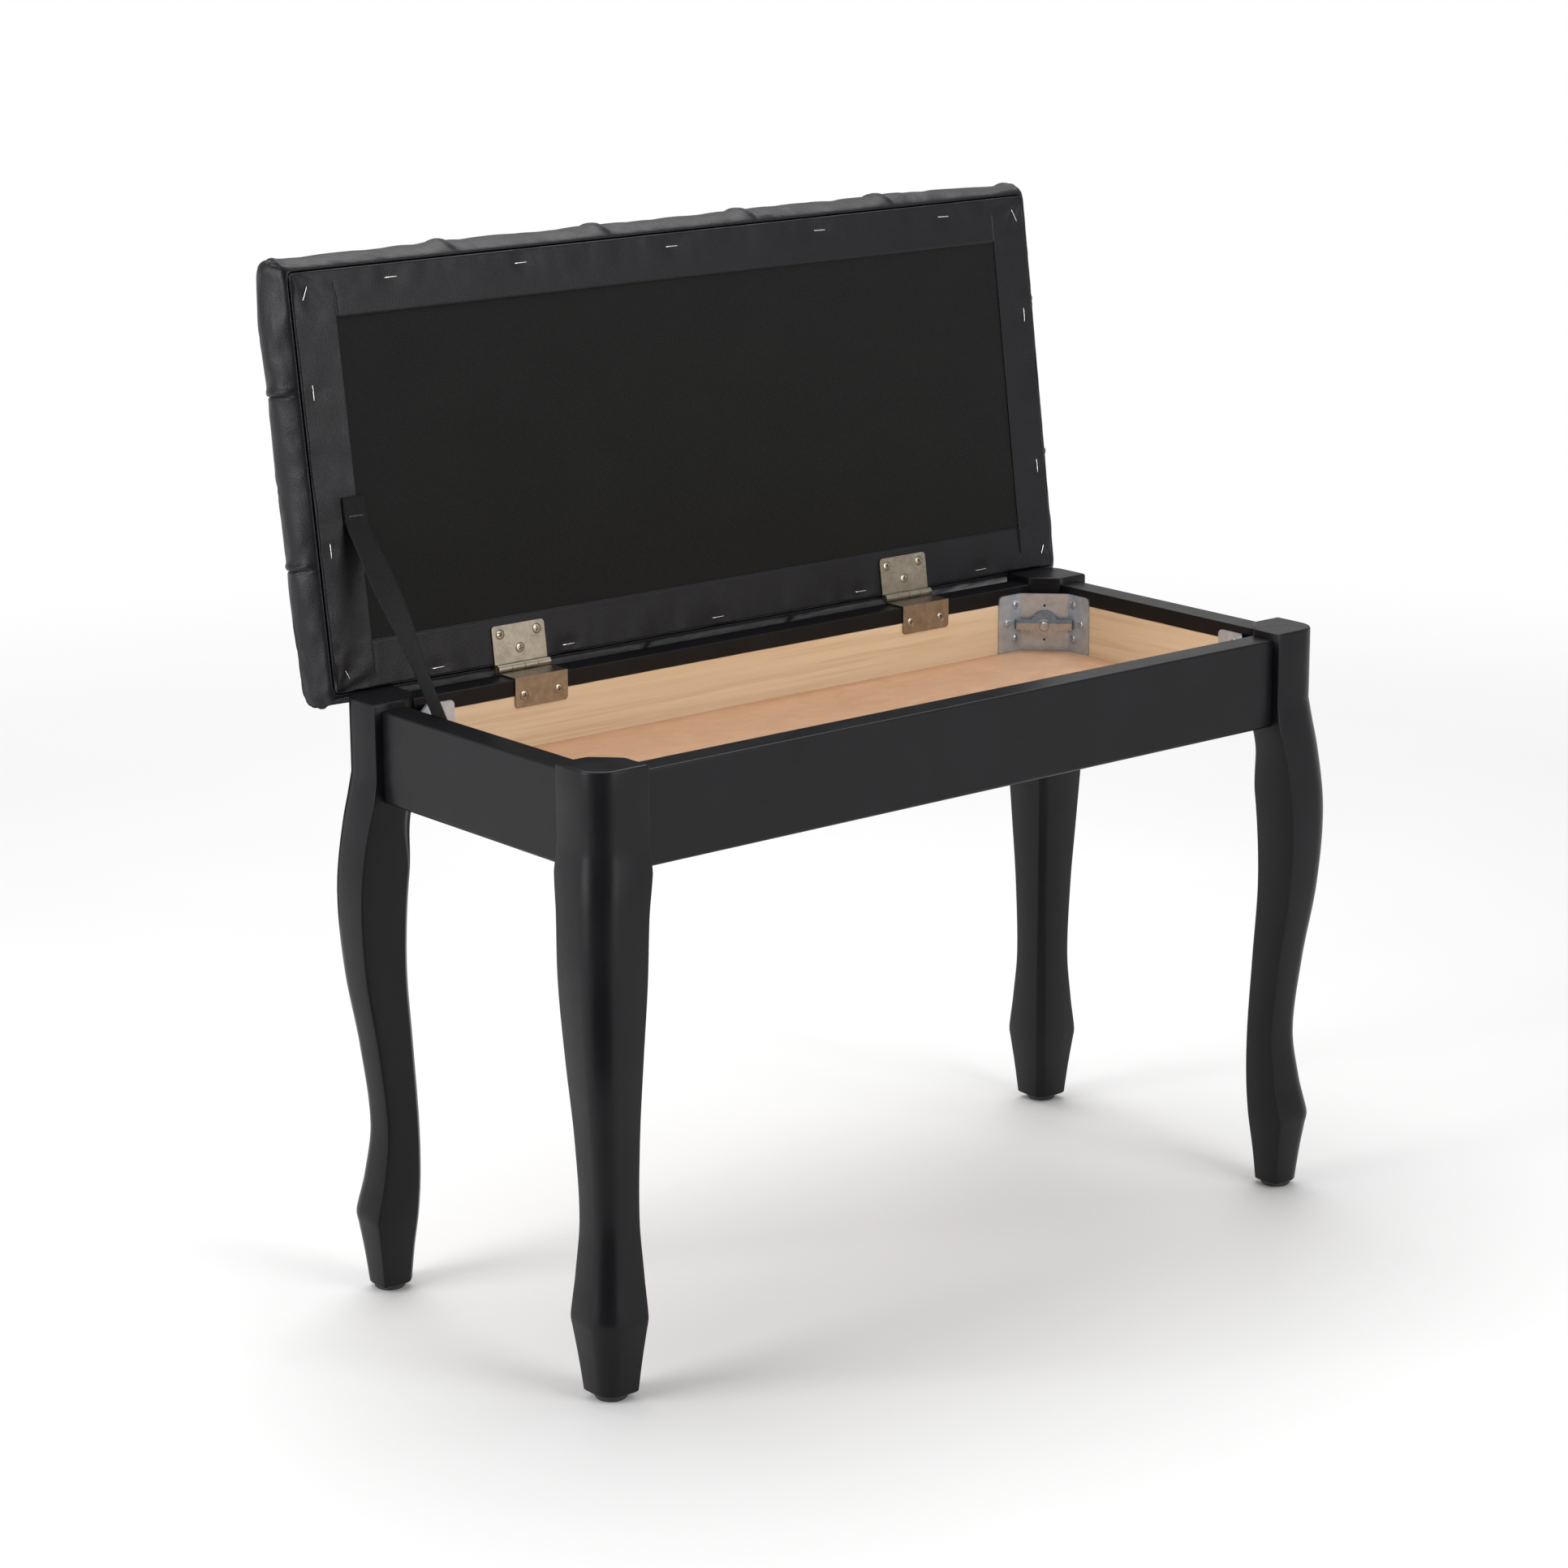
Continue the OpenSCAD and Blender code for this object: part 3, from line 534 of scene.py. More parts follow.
# ---------------------------------------------------------------- lid: places in lid space, in mm

UNDER = 2.8            # height of the leather's underside over the hinge axis
LID_X = 353.5          # half the width of the underside
LID_V0, LID_V1 = 3.2, 306.2
LID_VC = (LID_V0 + LID_V1) / 2
LID_H = (LID_V1 - LID_V0) / 2
SEAM_X = [(i / 5 - 0.5) * 2 * LID_X for i in range(1, 5)]
SEAM_V = [94, 220]
BORDER = 35
CREST = 50             # height of a fully stuffed panel over the underside
# Rings down the side: distance out from the underside's edge, height, corner radius in plan
SIDE_RINGS = [
    (-24, 45.6, 17), (-13, 45.2, 15), (-5, 43.9, 13), (2, 41.2, 12), (7, 37, 11), (10.4, 31.6, 10),
    (12, 25.6, 10), (12.2, 20, 10), (11.2, 14.8, 9), (9.2, 10.2, 8), (6.6, 6.0, 7), (4.0, 3.0, 6),
    (1.7, 1.4, 5), (0.8, 2.4, 5), (0.6, 6.5, 5), (-0.4, 12.9, 5),
]
SOFT_RINGS = 11        # these swell; the rest is held by the board
TUCK_X = LID_X + 5     # the pleats that take up the leather at the corners


def spaced(stops, seams, step):
    """Grid lines from stops[0] to stops[-1], about step apart, with close lines at each seam."""
    near = [-6.5, -4.2, -2.6, -1.3, -0.4, 0.4, 1.3, 2.8, 6.0]
    lines = [s + d for s in seams for d in near]
    marks = sorted({stops[0], stops[-1], *lines})
    full = []
    for a, b in zip(marks, marks[1:]):
        count = max(1, round((b - a) / step))
        full += [a + (b - a) * k / count for k in range(count)]
    return np.array(full + [marks[-1]])


def squeezed(lines, last_seam, half):
    """The lines with their part beyond the last seam scaled so that they end at half."""
    reach = np.abs(lines).max()
    beyond = last_seam + (np.abs(lines) - last_seam) * (half - last_seam) / (reach - last_seam)
    return np.where(np.abs(lines) <= last_seam, lines, np.sign(lines) * beyond)


def rounded(x, y, half_x, half_y, r):
    """Moves a point of the rectangle into the same rectangle with corners of radius r."""
    u, t = (abs(x) - (half_x - r)) / r, (abs(y) - (half_y - r)) / r
    if u <= 0 or t <= 0:
        return x, y
    return (math.copysign(half_x - r + r * u * math.sqrt(1 - t * t / 2), x),
            math.copysign(half_y - r + r * t * math.sqrt(1 - u * u / 2), y))


def pillow(value, seams, edge):
    """0 at the seams and 1 in the middle between them, along one direction."""
    marks = [-edge, *seams, edge]
    for a, b in zip(marks, marks[1:]):
        if a <= value <= b:
            t = (value - a) / (b - a)
            if a == -edge:
                t = 0.35 + 0.65 * t
            if b == edge:
                t = 0.65 * t
            return math.sin(math.pi * t) ** 0.55
    return 0.5


def top_height(x, y, seams_y):
    """Height of the stuffed top over the underside, before the cushion is blown up."""
    puff = pillow(x, SEAM_X, LID_X) * pillow(y, seams_y, LID_H)
    button = min(math.hypot(x - a, y - b) for a in SEAM_X for b in seams_y)
    well = 3.0 * math.exp(-((button / 17) ** 2))
    return 40.2 + (CREST - 44) * puff - well


def seam_lean(w):
    """How far a pleat over a long side has drifted to the right at height w."""
    return 8.0 * (1 - min(w, 44) / 44) ** 1.4


def padded_cover():
    """The stuffed, tufted cover, as one closed skin, with y measured from the middle of the lid."""
    seams_y = sorted(LID_VC - v for v in SEAM_V)
    last_y = max(abs(y) for y in seams_y)
    tucks = [side * (TUCK_X - 13) for side in (-1, 1)]
    xs = spaced((-LID_X, LID_X), sorted([*SEAM_X, *tucks]), 6.0)
    ys = spaced((-LID_H, LID_H), seams_y, 6.0)
    nx, ny = len(xs), len(ys)
    rim = grid_rim(nx, ny)
    points, index = [], {}
    out0, high0, radius0 = SIDE_RINGS[0]
    fit_x, fit_y = squeezed(xs, SEAM_X[-1], LID_X + out0), squeezed(ys, last_y, LID_H + out0)
    for j in range(ny):
        for i in range(nx):
            x, y = rounded(fit_x[i], fit_y[j], LID_X + out0, LID_H + out0, radius0)
            edge = min(LID_X + out0 - abs(x), LID_H + out0 - abs(y))
            blend = ease(edge / 30)
            w = high0 * (1 - blend) + (top_height(x, y, seams_y) + 1.2) * blend
            index[i, j] = len(points)
            points.append([x, y, w])
    rings = [[index[p] for p in rim]]
    for out, high, radius in SIDE_RINGS[1:]:
        half_x, half_y = LID_X + out, LID_H + out
        row_x, row_y = squeezed(xs, SEAM_X[-1], half_x), squeezed(ys, last_y, half_y)
        ring = []
        for i, j in rim:
            x, y = rounded(row_x[i], row_y[j], half_x, half_y, radius)
            if j in (0, ny - 1):
                near = min(abs(xs[i] - seam) for seam in SEAM_X)
                x += seam_lean(high) * math.exp(-((near / 26) ** 2))
            ring.append(len(points))
            points.append([x, y, high])
        rings.append(ring)
    faces = [(index[i, j], index[i + 1, j], index[i + 1, j + 1], index[i, j + 1])
             for i in range(nx - 1) for j in range(ny - 1)]
    n = len(rim)
    for upper, lower in zip(rings, rings[1:]):
        faces += [(upper[k], lower[k], lower[(k + 1) % n], upper[(k + 1) % n]) for k in range(n)]
    # The hidden underside, flat on the board
    row_x, row_y = squeezed(xs, SEAM_X[-1], half_x), squeezed(ys, last_y, half_y)
    under = {p: rings[-1][k] for k, p in enumerate(rim)}
    for j in range(1, ny - 1):
        for i in range(1, nx - 1):
            under[i, j] = len(points)
            points.append([*rounded(row_x[i], row_y[j], half_x, half_y, radius), high])
    faces += [(under[i, j], under[i, j + 1], under[i + 1, j + 1], under[i + 1, j])
              for i in range(nx - 1) for j in range(ny - 1)]
    held = {k for ring in rings[SOFT_RINGS:] for k in ring} | set(under.values())
    return np.array(points), faces, held, seams_y


def seam_distance(points, seams_y):
    """Distance of each point to the nearest seam, signed across it, and to the nearest button."""
    across_x = np.stack([points[:, 0] - s for s in SEAM_X])
    across_y = np.stack([points[:, 1] - s for s in seams_y])
    best_x = np.take_along_axis(across_x, np.abs(across_x).argmin(0)[None], 0)[0]
    best_y = np.take_along_axis(across_y, np.abs(across_y).argmin(0)[None], 0)[0]
    return best_x, best_y, np.hypot(best_x, best_y)


def inflate(pad, pins, pressure, cap):
    """Blows the pad up as cloth for 20 frames, then keeps each point within its cap of where it was."""
    group = pad.vertex_groups.new(name="held")
    for k, weight in pins.items():
        group.add([k], weight, "REPLACE")
    cloth = pad.modifiers.new("cloth", "CLOTH")
    s = cloth.settings
    s.quality = 6
    s.mass = 0.25
    s.tension_stiffness = s.compression_stiffness = 18
    s.shear_stiffness = 6
    s.bending_stiffness = 0.6
    s.use_pressure = True
    s.uniform_pressure_force = pressure
    s.vertex_group_mass = "held"
    s.shrink_min = -0.035
    s.effector_weights.gravity = 0
    cloth.point_cache.frame_start, cloth.point_cache.frame_end = 1, 20
    scene = bpy.context.scene
    for step in range(1, 21):
        scene.frame_set(step)
    blown = pad.evaluated_get(bpy.context.evaluated_depsgraph_get()).data
    after = np.array([v.co for v in blown.vertices])
    pad.modifiers.remove(cloth)
    scene.frame_set(1)
    before = np.array([v.co for v in pad.data.vertices])
    move = after - before
    length = np.linalg.norm(move, axis=1)[:, None]
    limited = cap * np.tanh(length / cap) / np.maximum(length, 1e-9)
    pad.data.vertices.foreach_set("co", (before + move * limited).ravel())
    pad.data.update()


def subdivided(piece):
    """Replaces a piece's mesh by the same one with every face split in four and smoothed."""
    smooth = piece.modifiers.new("rounding", "SUBSURF")
    smooth.levels = smooth.render_levels = 1
    coarse = piece.data
    piece.data = bpy.data.meshes.new_from_object(piece.evaluated_get(bpy.context.evaluated_depsgraph_get()))
    piece.modifiers.remove(smooth)
    bpy.data.meshes.remove(coarse)


def tufted_seat():
    """The leather seat: blown up between its seams, then pleated, creased and finely wrinkled."""
    points, faces, held, seams_y = padded_cover()
    across_x, across_y, button = seam_distance(points, seams_y)
    pins = {}
    for k in range(len(points)):
        on_seam = min(abs(across_x[k]), abs(across_y[k])) < 0.8
        if k in held or button[k] < 9.5:
            pins[k] = 1.0
        elif on_seam:
            pins[k] = 0.92
    edge = np.maximum(np.abs(points[:, 0]) - LID_X, np.abs(points[:, 1]) - LID_H)
    cap = (1.2 + 4.3 * eased(-(edge + 6) / 22)) * MM
    local = points * MM
    local[:, 1] -= LID_VC * MM
    local[:, 2] += UNDER * MM
    seat = make_mesh("tufted_seat", local, faces, "leather", LID)
    inflate(seat, pins, 4.0, cap[:, None])
    subdivided(seat)
    shape_leather(seat, seams_y)
    belongs(seat, "lid", "black_leather", "lid_cover", "lid_foam")


# Creases on the roll of the short sides: from (v, height) to (v, height), depth
SIDE_CREASES = [
    (168, 38, 142, 30, 1.3), (60, 33, 12, 12, 1.4), (48, 40, 16, 24, 0.9), (30, 28, 6, 36, 0.8),
    (285, 40, 236, 26, 0.9), (205, 34, 112, 22, 0.6), (88, 18, 34, 26, 0.7), (290, 16, 240, 12, 0.7),
]


def bell(distance, width):
    return np.exp(-((distance / width) ** 2))


def eased(u):
    c = np.clip(u, 0, 1)
    return c * c * (3 - 2 * c)


def pleat(d):
    """Overlap of two panels at a seam over the edge: the near side of d = 0 lies on the far one."""
    return 1.7 * bell(d + 2.6, 2.2) * (d < 0.3) - 2.2 * bell(d - 0.5, 0.65) - 0.7 * bell(d, 8) * (d > 0)


def shape_leather(seat, seams_y):
    """Sewn channels, overlapped pleats over the edges, folds at the corners and along the sides."""
    mesh = seat.data
    count = len(mesh.vertices)
    co, normals = np.empty(count * 3), np.empty(count * 3)
    mesh.vertices.foreach_get("co", co)
    mesh.vertices.foreach_get("normal", normals)
    co, normals = co.reshape(-1, 3), normals.reshape(-1, 3)
    x, y, w = co[:, 0] / MM, co[:, 1] / MM + LID_VC, co[:, 2] / MM - UNDER
    reach_x, reach_y = np.abs(x) - LID_X, np.abs(y) - LID_H
    gap = np.maximum(reach_x, reach_y)
    side = eased((gap + 5) / 9)
    seen = eased((w - 3) / 6) * ((gap > 1) | (w > 16))
    lean = np.array([seam_lean(h) for h in np.clip(w, 0, 44)]) * (reach_y > reach_x)
    flat = np.stack([x - lean, y], 1)
    across_x, across_y, button = seam_distance(flat, seams_y)
    move = np.zeros(count)
    for d, lap in ((across_x, 1.0), (across_y, 0.55)):
        channel = -2.2 * bell(d, 1.2) - 1.6 * bell(d, 6.0)
        move += (1 - side) * channel + side * lap * pleat(d)
    long_side = eased((reach_y + 2) / 6) * (reach_x < 4)
    tuck = np.abs(x) - (TUCK_X + 1.5 - 0.18 * w)
    move += long_side * side * 0.7 * pleat(tuck)
    # Folds round the corners and creases along the short sides
    corner = eased(1 - np.hypot(np.minimum(reach_x, 0), np.minimum(reach_y, 0)) / 40)
    angle = np.arctan2(8 - reach_y, 8 - reach_x)
    move -= 2.0 * corner * side
    for v0, w0, v1, w1, depth in SIDE_CREASES:
        run = np.array([v1 - v0, w1 - w0], float)
        length = np.hypot(*run)
        off_v, off_w = (LID_VC - y) - v0, w - w0
        along = (off_v * run[0] + off_w * run[1]) / length
        across = (off_w * run[0] - off_v * run[1]) / length + 2.5 * np.sin(along / length * 3)
        within = eased(along / 8) * eased((length - along) / 8)
        move += (reach_x > 2) * 0.6 * depth * within * (0.7 * bell(across - 2.6, 2.0) - bell(across, 1.3))
    ray = np.arctan2(across_y, across_x)
    move += bell(button - 15, 9) * 0.6 * np.sin(ray * 12 + x) * (w > 30) * (1 - side)
    for k in range(count):
        a, b, c = x[k], y[k], w[k]
        run = a if reach_y[k] > reach_x[k] else b
        ripple = 0.35 * wobble(run / 95, c / 30, 3.1) + 0.08 * wobble(run / 34, c / 24, 8.4)
        bunch = 0.3 * math.sin(angle[k] * 9 + 2 * wobble(a / 30, b / 30, c / 20))
        move[k] += side[k] * ripple + corner[k] * side[k] * bunch + 0.07 * wobble(a / 17, b / 17, c / 17)
    co += normals * (move * seen)[:, None] * MM
    mesh.vertices.foreach_set("co", co.ravel())
    mesh.update()


# ---------------------------------------------------------------- lid: leather border under the board

SIDE_STAPLE_X, CORNER_STAPLE_X = 345, 343
STAPLE_ROWS = (
    [(x, LID_V1 - 10) for x in (-268, -152, -10, 137, 267)]
    + [(x, LID_V0 + 6) for x in (-263, -144, 0, 145, 274)]
    + [(-SIDE_STAPLE_X, v) for v in (220, 106)]
    + [(SIDE_STAPLE_X, v) for v in (210, 86)]
    + [(sx * CORNER_STAPLE_X, v) for sx in (-1, 1) for v in (17, 291)])
LEATHER = 0.9          # its thickness
FOLD_WALL = 5.2        # height of the fold at the border's outer edge
BORDER_STEP = 2.8
HINGE_X, LEAF_HALF, LEAF_END = 190, 24, 36
STRAP_X, STRAP_V = -322.0, 132

# How open the slit at the inner end of each corner is, by the signs of x and of v - LID_VC
SLITS = {(-1, 1): 1.0, (1, 1): 0.25, (1, -1): 1.0, (-1, -1): 0.5}


def border_height(x, v):
    """How far the border is sunk at a point, in mm: 0 is flush, less is proud of the underside."""
    dx, dv = LID_X - abs(x), min(v - LID_V0, LID_V1 - v)
    inner = min(dx, dv)
    corner = (1 if x > 0 else -1, 1 if v > LID_VC else -1)
    sink = 0.0
    for sx, sv in STAPLE_ROWS:
        sink += 0.75 * math.exp(-(((x - sx) / 9) ** 2 + ((v - sv) / 5.5) ** 2))
    along = x if dv < dx else v
    row = 1.7 if dv < dx else 6.2
    wave = wobble(along / 30, row, inner / 70) + 0.4 * wobble(along / 12, 9.1, inner / 30)
    sink += 1.3 * wave * ease(1 - inner / 32)
    # The inner edge lifts a little here and there
    sink -= 0.35 * (0.5 + 0.5 * wobble(along / 26, 4.4, 0)) * ease((inner - BORDER + 6) / 6)
    # The strips of the short sides lie on those of the long sides and end in a slit
    if dv < BORDER + 1 and abs(dx - BORDER) < 12:
        open_part = ease((dv - 9) / 8) * SLITS[corner]
        lap = ease((BORDER + 0.4 - dx) / 0.8)
        sink += open_part * (-1.0 * lap * math.exp(-(((dx - BORDER) / 9) ** 2))
                             + 0.8 * math.exp(-(((dx - BORDER - 0.7) / 0.7) ** 2)))
    # Bunched folds across each corner, deepest where the leather was gathered near the hinges
    reach = math.hypot(dx, dv)
    gather = 1.5 if corner == (-1, -1) else 0.9
    if reach < 46:
        angle = math.atan2(dv, dx)
        fold = math.sin(angle * 9 + 1.8 * wobble(x / 11, v / 11, 4))
        sink += gather * ease(1 - reach / 46) * ease(reach / 6) * fold
    # Flat under the hinge leaves and the end of the strap, which are fixed down on it
    off_leaf = max(abs(abs(x) - HINGE_X) - LEAF_HALF, v - LEAF_END)
    off_strap = max(abs(x - STRAP_X) - 11, abs(v - STRAP_V) - 13)
    sink *= ease(off_leaf / 5) * ease(off_strap / 4)
    return max(min(sink, 0.85), -0.85)


def leather_border():
    """The border of leather turned under the board: one strip round, folded up at its outer edge."""
    fine = [0.0, 0.25, 0.6, 1.1, 2.0, 3.2]
    laps = [BORDER + d for d in (-3, -1.2, -0.4, 0, 0.35, 0.8, 1.6, 4)]

    def lines(low, high, step, marks):
        marks = sorted({low, high, *marks})
        full = []
        for a, b in zip(marks, marks[1:]):
            count = max(1, math.ceil((b - a) / step))
            full += [a + (b - a) * k / count for k in range(count)]
        return full + [marks[-1]]

    edges = fine + [BORDER]
    xs = lines(-LID_X, LID_X, BORDER_STEP, [s * (LID_X - d) for s in (-1, 1) for d in fine + laps])
    vs = lines(LID_V0, LID_V1, BORDER_STEP, [LID_V0 + d for d in edges] + [LID_V1 - d for d in edges])
    keep = BORDER - 0.01
    points, index, faces = [], {}, []

    def vertex(i, j):
        if (i, j) not in index:
            x, v = xs[i], vs[j]
            dx, dv = LID_X - abs(x), min(v - LID_V0, LID_V1 - v)
            # Rounded fold at the outer edge
            fold = 1.3 * max(0.0, 1 - min(dx, dv) / 1.3) ** 2
            index[i, j] = len(points)
            px, py = rounded(x, LID_VC - v, LID_X, LID_H, 3.0)
            points.append([px, py, border_height(x, v) + 0.6 * fold])
        return index[i, j]

    def inside(i, j):
        x, v = (xs[i] + xs[i + 1]) / 2, (vs[j] + vs[j + 1]) / 2
        return LID_X - abs(x) > keep and LID_V0 + keep < v < LID_V1 - keep

    nx, ny = len(xs), len(vs)
    for i in range(nx - 1):
        for j in range(ny - 1):
            if not inside(i, j):
                faces.append((vertex(i, j), vertex(i + 1, j), vertex(i + 1, j + 1), vertex(i, j + 1)))
    rim = grid_rim(nx, ny)
    ring = [index[p] for p in rim]
    for out, high in ((0.35, 1.6), (0.35, FOLD_WALL)):
        raised = []
        for k in ring:
            x, y, w = points[k]
            grow = 0.25 if high < 2 else 0.0
            raised.append(len(points))
            points.append([x + math.copysign(grow, x), y + math.copysign(grow, y), max(high, w + 0.6)])
        n = len(ring)
        faces += [(ring[k], raised[k], raised[(k + 1) % n], ring[(k + 1) % n]) for k in range(n)]
        ring = raised
    local = np.array(points) * MM
    local[:, 1] -= LID_VC * MM
    local[:, 2] += UNDER * MM
    border = make_mesh("leather_border", local, faces, "leather", LID)
    thick = border.modifiers.new("leather", "SOLIDIFY")
    thick.thickness = LEATHER * MM
    thick.offset = -1
    belongs(border, "lid", "black_leather")


def stretched_dust_cloth():
    """Thin black cloth stretched over the board, its edges under the leather border."""
    out = BORDER - 9
    half_x, half_v = LID_X - out, LID_H - out
    nx, ny = 150, 60
    points = []
    for j in range(ny + 1):
        for i in range(nx + 1):
            x, y = half_x * (2 * i / nx - 1), half_v * (2 * j / ny - 1)
            sag = 0.16 * wobble(x / 70, y / 45, 2) + 0.07 * wobble(x / 22, y / 22, 5)
            points.append((x * MM, (y - LID_VC) * MM, (UNDER + 0.75 + sag) * MM))
    row = nx + 1
    faces = [(j * row + i, (j + 1) * row + i, (j + 1) * row + i + 1, j * row + i + 1)
             for j in range(ny) for i in range(nx)]
    cloth = make_mesh("stretched_dust_cloth", points, faces, "dust_cloth", LID)
    belongs(cloth, "lid", "dust_cloth", "lid_dust_cover")


def covered_buttons():
    """Eight leather-covered tufting buttons, domed, with a rolled rim."""
    profile = [(0, 5.2), (2.5, 5.0), (5, 4.3), (7, 3.2), (8.4, 1.8), (9, 0.4), (8.8, -0.8), (7.6, -1.6),
               (0, -1.8)]
    turns, seat_top = 40, 43.5
    points, faces = [], []
    for bx in SEAM_X:
        for v in SEAM_V:
            start = len(points)
            for r, h in profile[1:-1]:
                for k in range(turns):
                    a = 2 * math.pi * k / turns
                    crimp = 1 + 0.018 * math.sin(9 * a + bx) * (r > 6)
                    points.append((bx + r * crimp * math.cos(a), -v + r * crimp * math.sin(a), seat_top + h))
            rings = len(profile) - 2
            for q in range(rings - 1):
                for k in range(turns):
                    n = (k + 1) % turns
                    faces.append((start + q * turns + k, start + (q + 1) * turns + k,
                                  start + (q + 1) * turns + n, start + q * turns + n))
            for ring, (r, h), order in ((0, profile[0], 1), (rings - 1, profile[-1], -1)):
                hub = len(points)
                points.append((bx, -v, seat_top + h))
                for k in range(turns):
                    n = (k + 1) % turns
                    a, b = start + ring * turns + k, start + ring * turns + n
                    faces.append((hub, a, b)[::order])
    local = np.array(points) * MM
    local[:, 2] += UNDER * MM
    buttons = make_mesh("covered_buttons", local, faces, "leather", LID)
    belongs(buttons, "lid", "black_leather", "lid_buttons")


# ---------------------------------------------------------------- staples and screws

def tube(path, across, width, thick, sides=8):
    """A wire along a path, its width measured across and its thickness square to that."""
    rings = []
    turns = [2 * math.pi * i / sides for i in range(sides)]
    for k, p in enumerate(path):
        tangent = (path[min(k + 1, len(path) - 1)] - path[max(k - 1, 0)]).normalized()
        wide, high = across * (width / 2), across.cross(tangent).normalized() * (thick / 2)
        rings.append([p + wide * math.cos(a) + high * math.sin(a) for a in turns])
    return [p for ring in rings for p in ring], loft(rings, flip=True)


def add_part(points, faces, more_points, more_faces):
    start = len(points)
    points += more_points
    faces += [tuple(start + k for k in face) for face in more_faces]


CROWN, STAPLE_LEG, BEND = 11.2, 7.0, 0.9
WIRE_WIDTH, WIRE_THICK = 0.75 * MM, 0.5 * MM
STAPLE_PROUD = 0.65


def cover_staples():
    """Fine wire staples, pressed a little into the leather."""
    points, faces = [], []
    for k, (x, v) in enumerate(STAPLE_ROWS):
        corner = abs(x) == CORNER_STAPLE_X
        side = abs(x) == SIDE_STAPLE_X
        lean = -25 * (1 if x > 0 else -1) * (1 if v > LID_VC else -1) if corner else 0
        turn = math.radians((90 if side or corner else 0) + lean + 2.5 * wobble(k * 1.7, 0.5, 0))
        along = Vector((math.cos(turn), math.sin(turn), 0))
        across = Vector((-along.y, along.x, 0))
        base = Vector((x, -v, UNDER - STAPLE_PROUD + border_height(x, v)))
        outline = [(-CROWN / 2, STAPLE_LEG), (-CROWN / 2, BEND)]
        outline += [(-CROWN / 2 + BEND - BEND * math.cos(a), BEND - BEND * math.sin(a))
                    for a in (math.radians(30), math.radians(60))]
        outline += [(-CROWN / 2 + BEND, 0), (-CROWN / 6, -0.05)]
        outline += [(-s, h) for s, h in reversed(outline)]
        path = [(base + along * s + Vector((0, 0, h))) * MM for s, h in outline]
        add_part(points, faces, *tube(path, across, WIRE_WIDTH, WIRE_THICK))
    wires = make_mesh("cover_staples", points, faces, "wire", LID, crease_deg=70)
    belongs(wires, "lid", "steel_wire", "lid_staples")


def recess(r, a):
    """Depth of a cross recess at a place on a screw head, in mm."""
    deep = 0.0
    for turn in (0, math.pi / 2):
        along, off = abs(r * math.cos(a - turn)), abs(r * math.sin(a - turn))
        deep = max(deep, 1.3 * ease((2.1 - along) / 0.9) * ease((0.62 - off) / 0.3))
    return deep


def screw(head, shank, centre, facing, spin):
    """A Phillips wood screw. head lists (radius, height) from the rim to the crown's edge."""
    rim_r, rim_h = head[0]
    crown_r, crown_h, top_h = head[-1][0], head[-1][1], head[-1][1] + 0.45
    rows = [(0.6, -shank), (1.7, -shank + 2.5), (1.7, rim_h - 1.6), *head]
    rows += [(crown_r * u, None) for u in (0.93, 0.84, 0.74, 0.64, 0.54, 0.44, 0.34, 0.24, 0.14, 0.05)]
    turns = 48
    x_axis = facing.orthogonal().normalized()
    y_axis = facing.cross(x_axis)
    points, rings = [], []
    for r, h in rows:
        rings.append(range(len(points), len(points) + turns))
        for k in range(turns):
            a = 2 * math.pi * k / turns
            high = h
            if h is None:
                high = crown_h + (top_h - crown_h) * (1 - (r / crown_r) ** 2) - recess(r, a)
            ray = x_axis * math.cos(a + spin) + y_axis * math.sin(a + spin)
            points.append((centre + ray * r + facing * high) * MM)
    faces = [(a[k], a[(k + 1) % turns], b[(k + 1) % turns], b[k])
             for a, b in zip(rings, rings[1:]) for k in range(turns)]
    faces += [tuple(reversed(rings[0])), tuple(rings[-1])]
    return points, faces


FLAT_HEAD = [(3.45, -0.42), (3.5, -0.3), (3.3, -0.16), (2.9, 0.0)]
PAN_HEAD = [(3.4, 0.0), (3.4, 0.55), (3.15, 1.0), (2.6, 1.3)]
LEAF_T, RAIL_T = 1.3, 22
LID_SCREWS = [(-16.8, 25.4), (16.8, 25.4), (0, 13.4)]
RAIL_SCREW_X, RAIL_SCREW_DROP = 15.8, 16.2
BRACKET_T, BRACKET_REACH = 1.6, 40 / math.sqrt(2)
FLANGE_SCREWS = [(6.8, 38.6), (15.7, 24), (6.8, 10.6)]
BRACKET_LIFT = 0.2


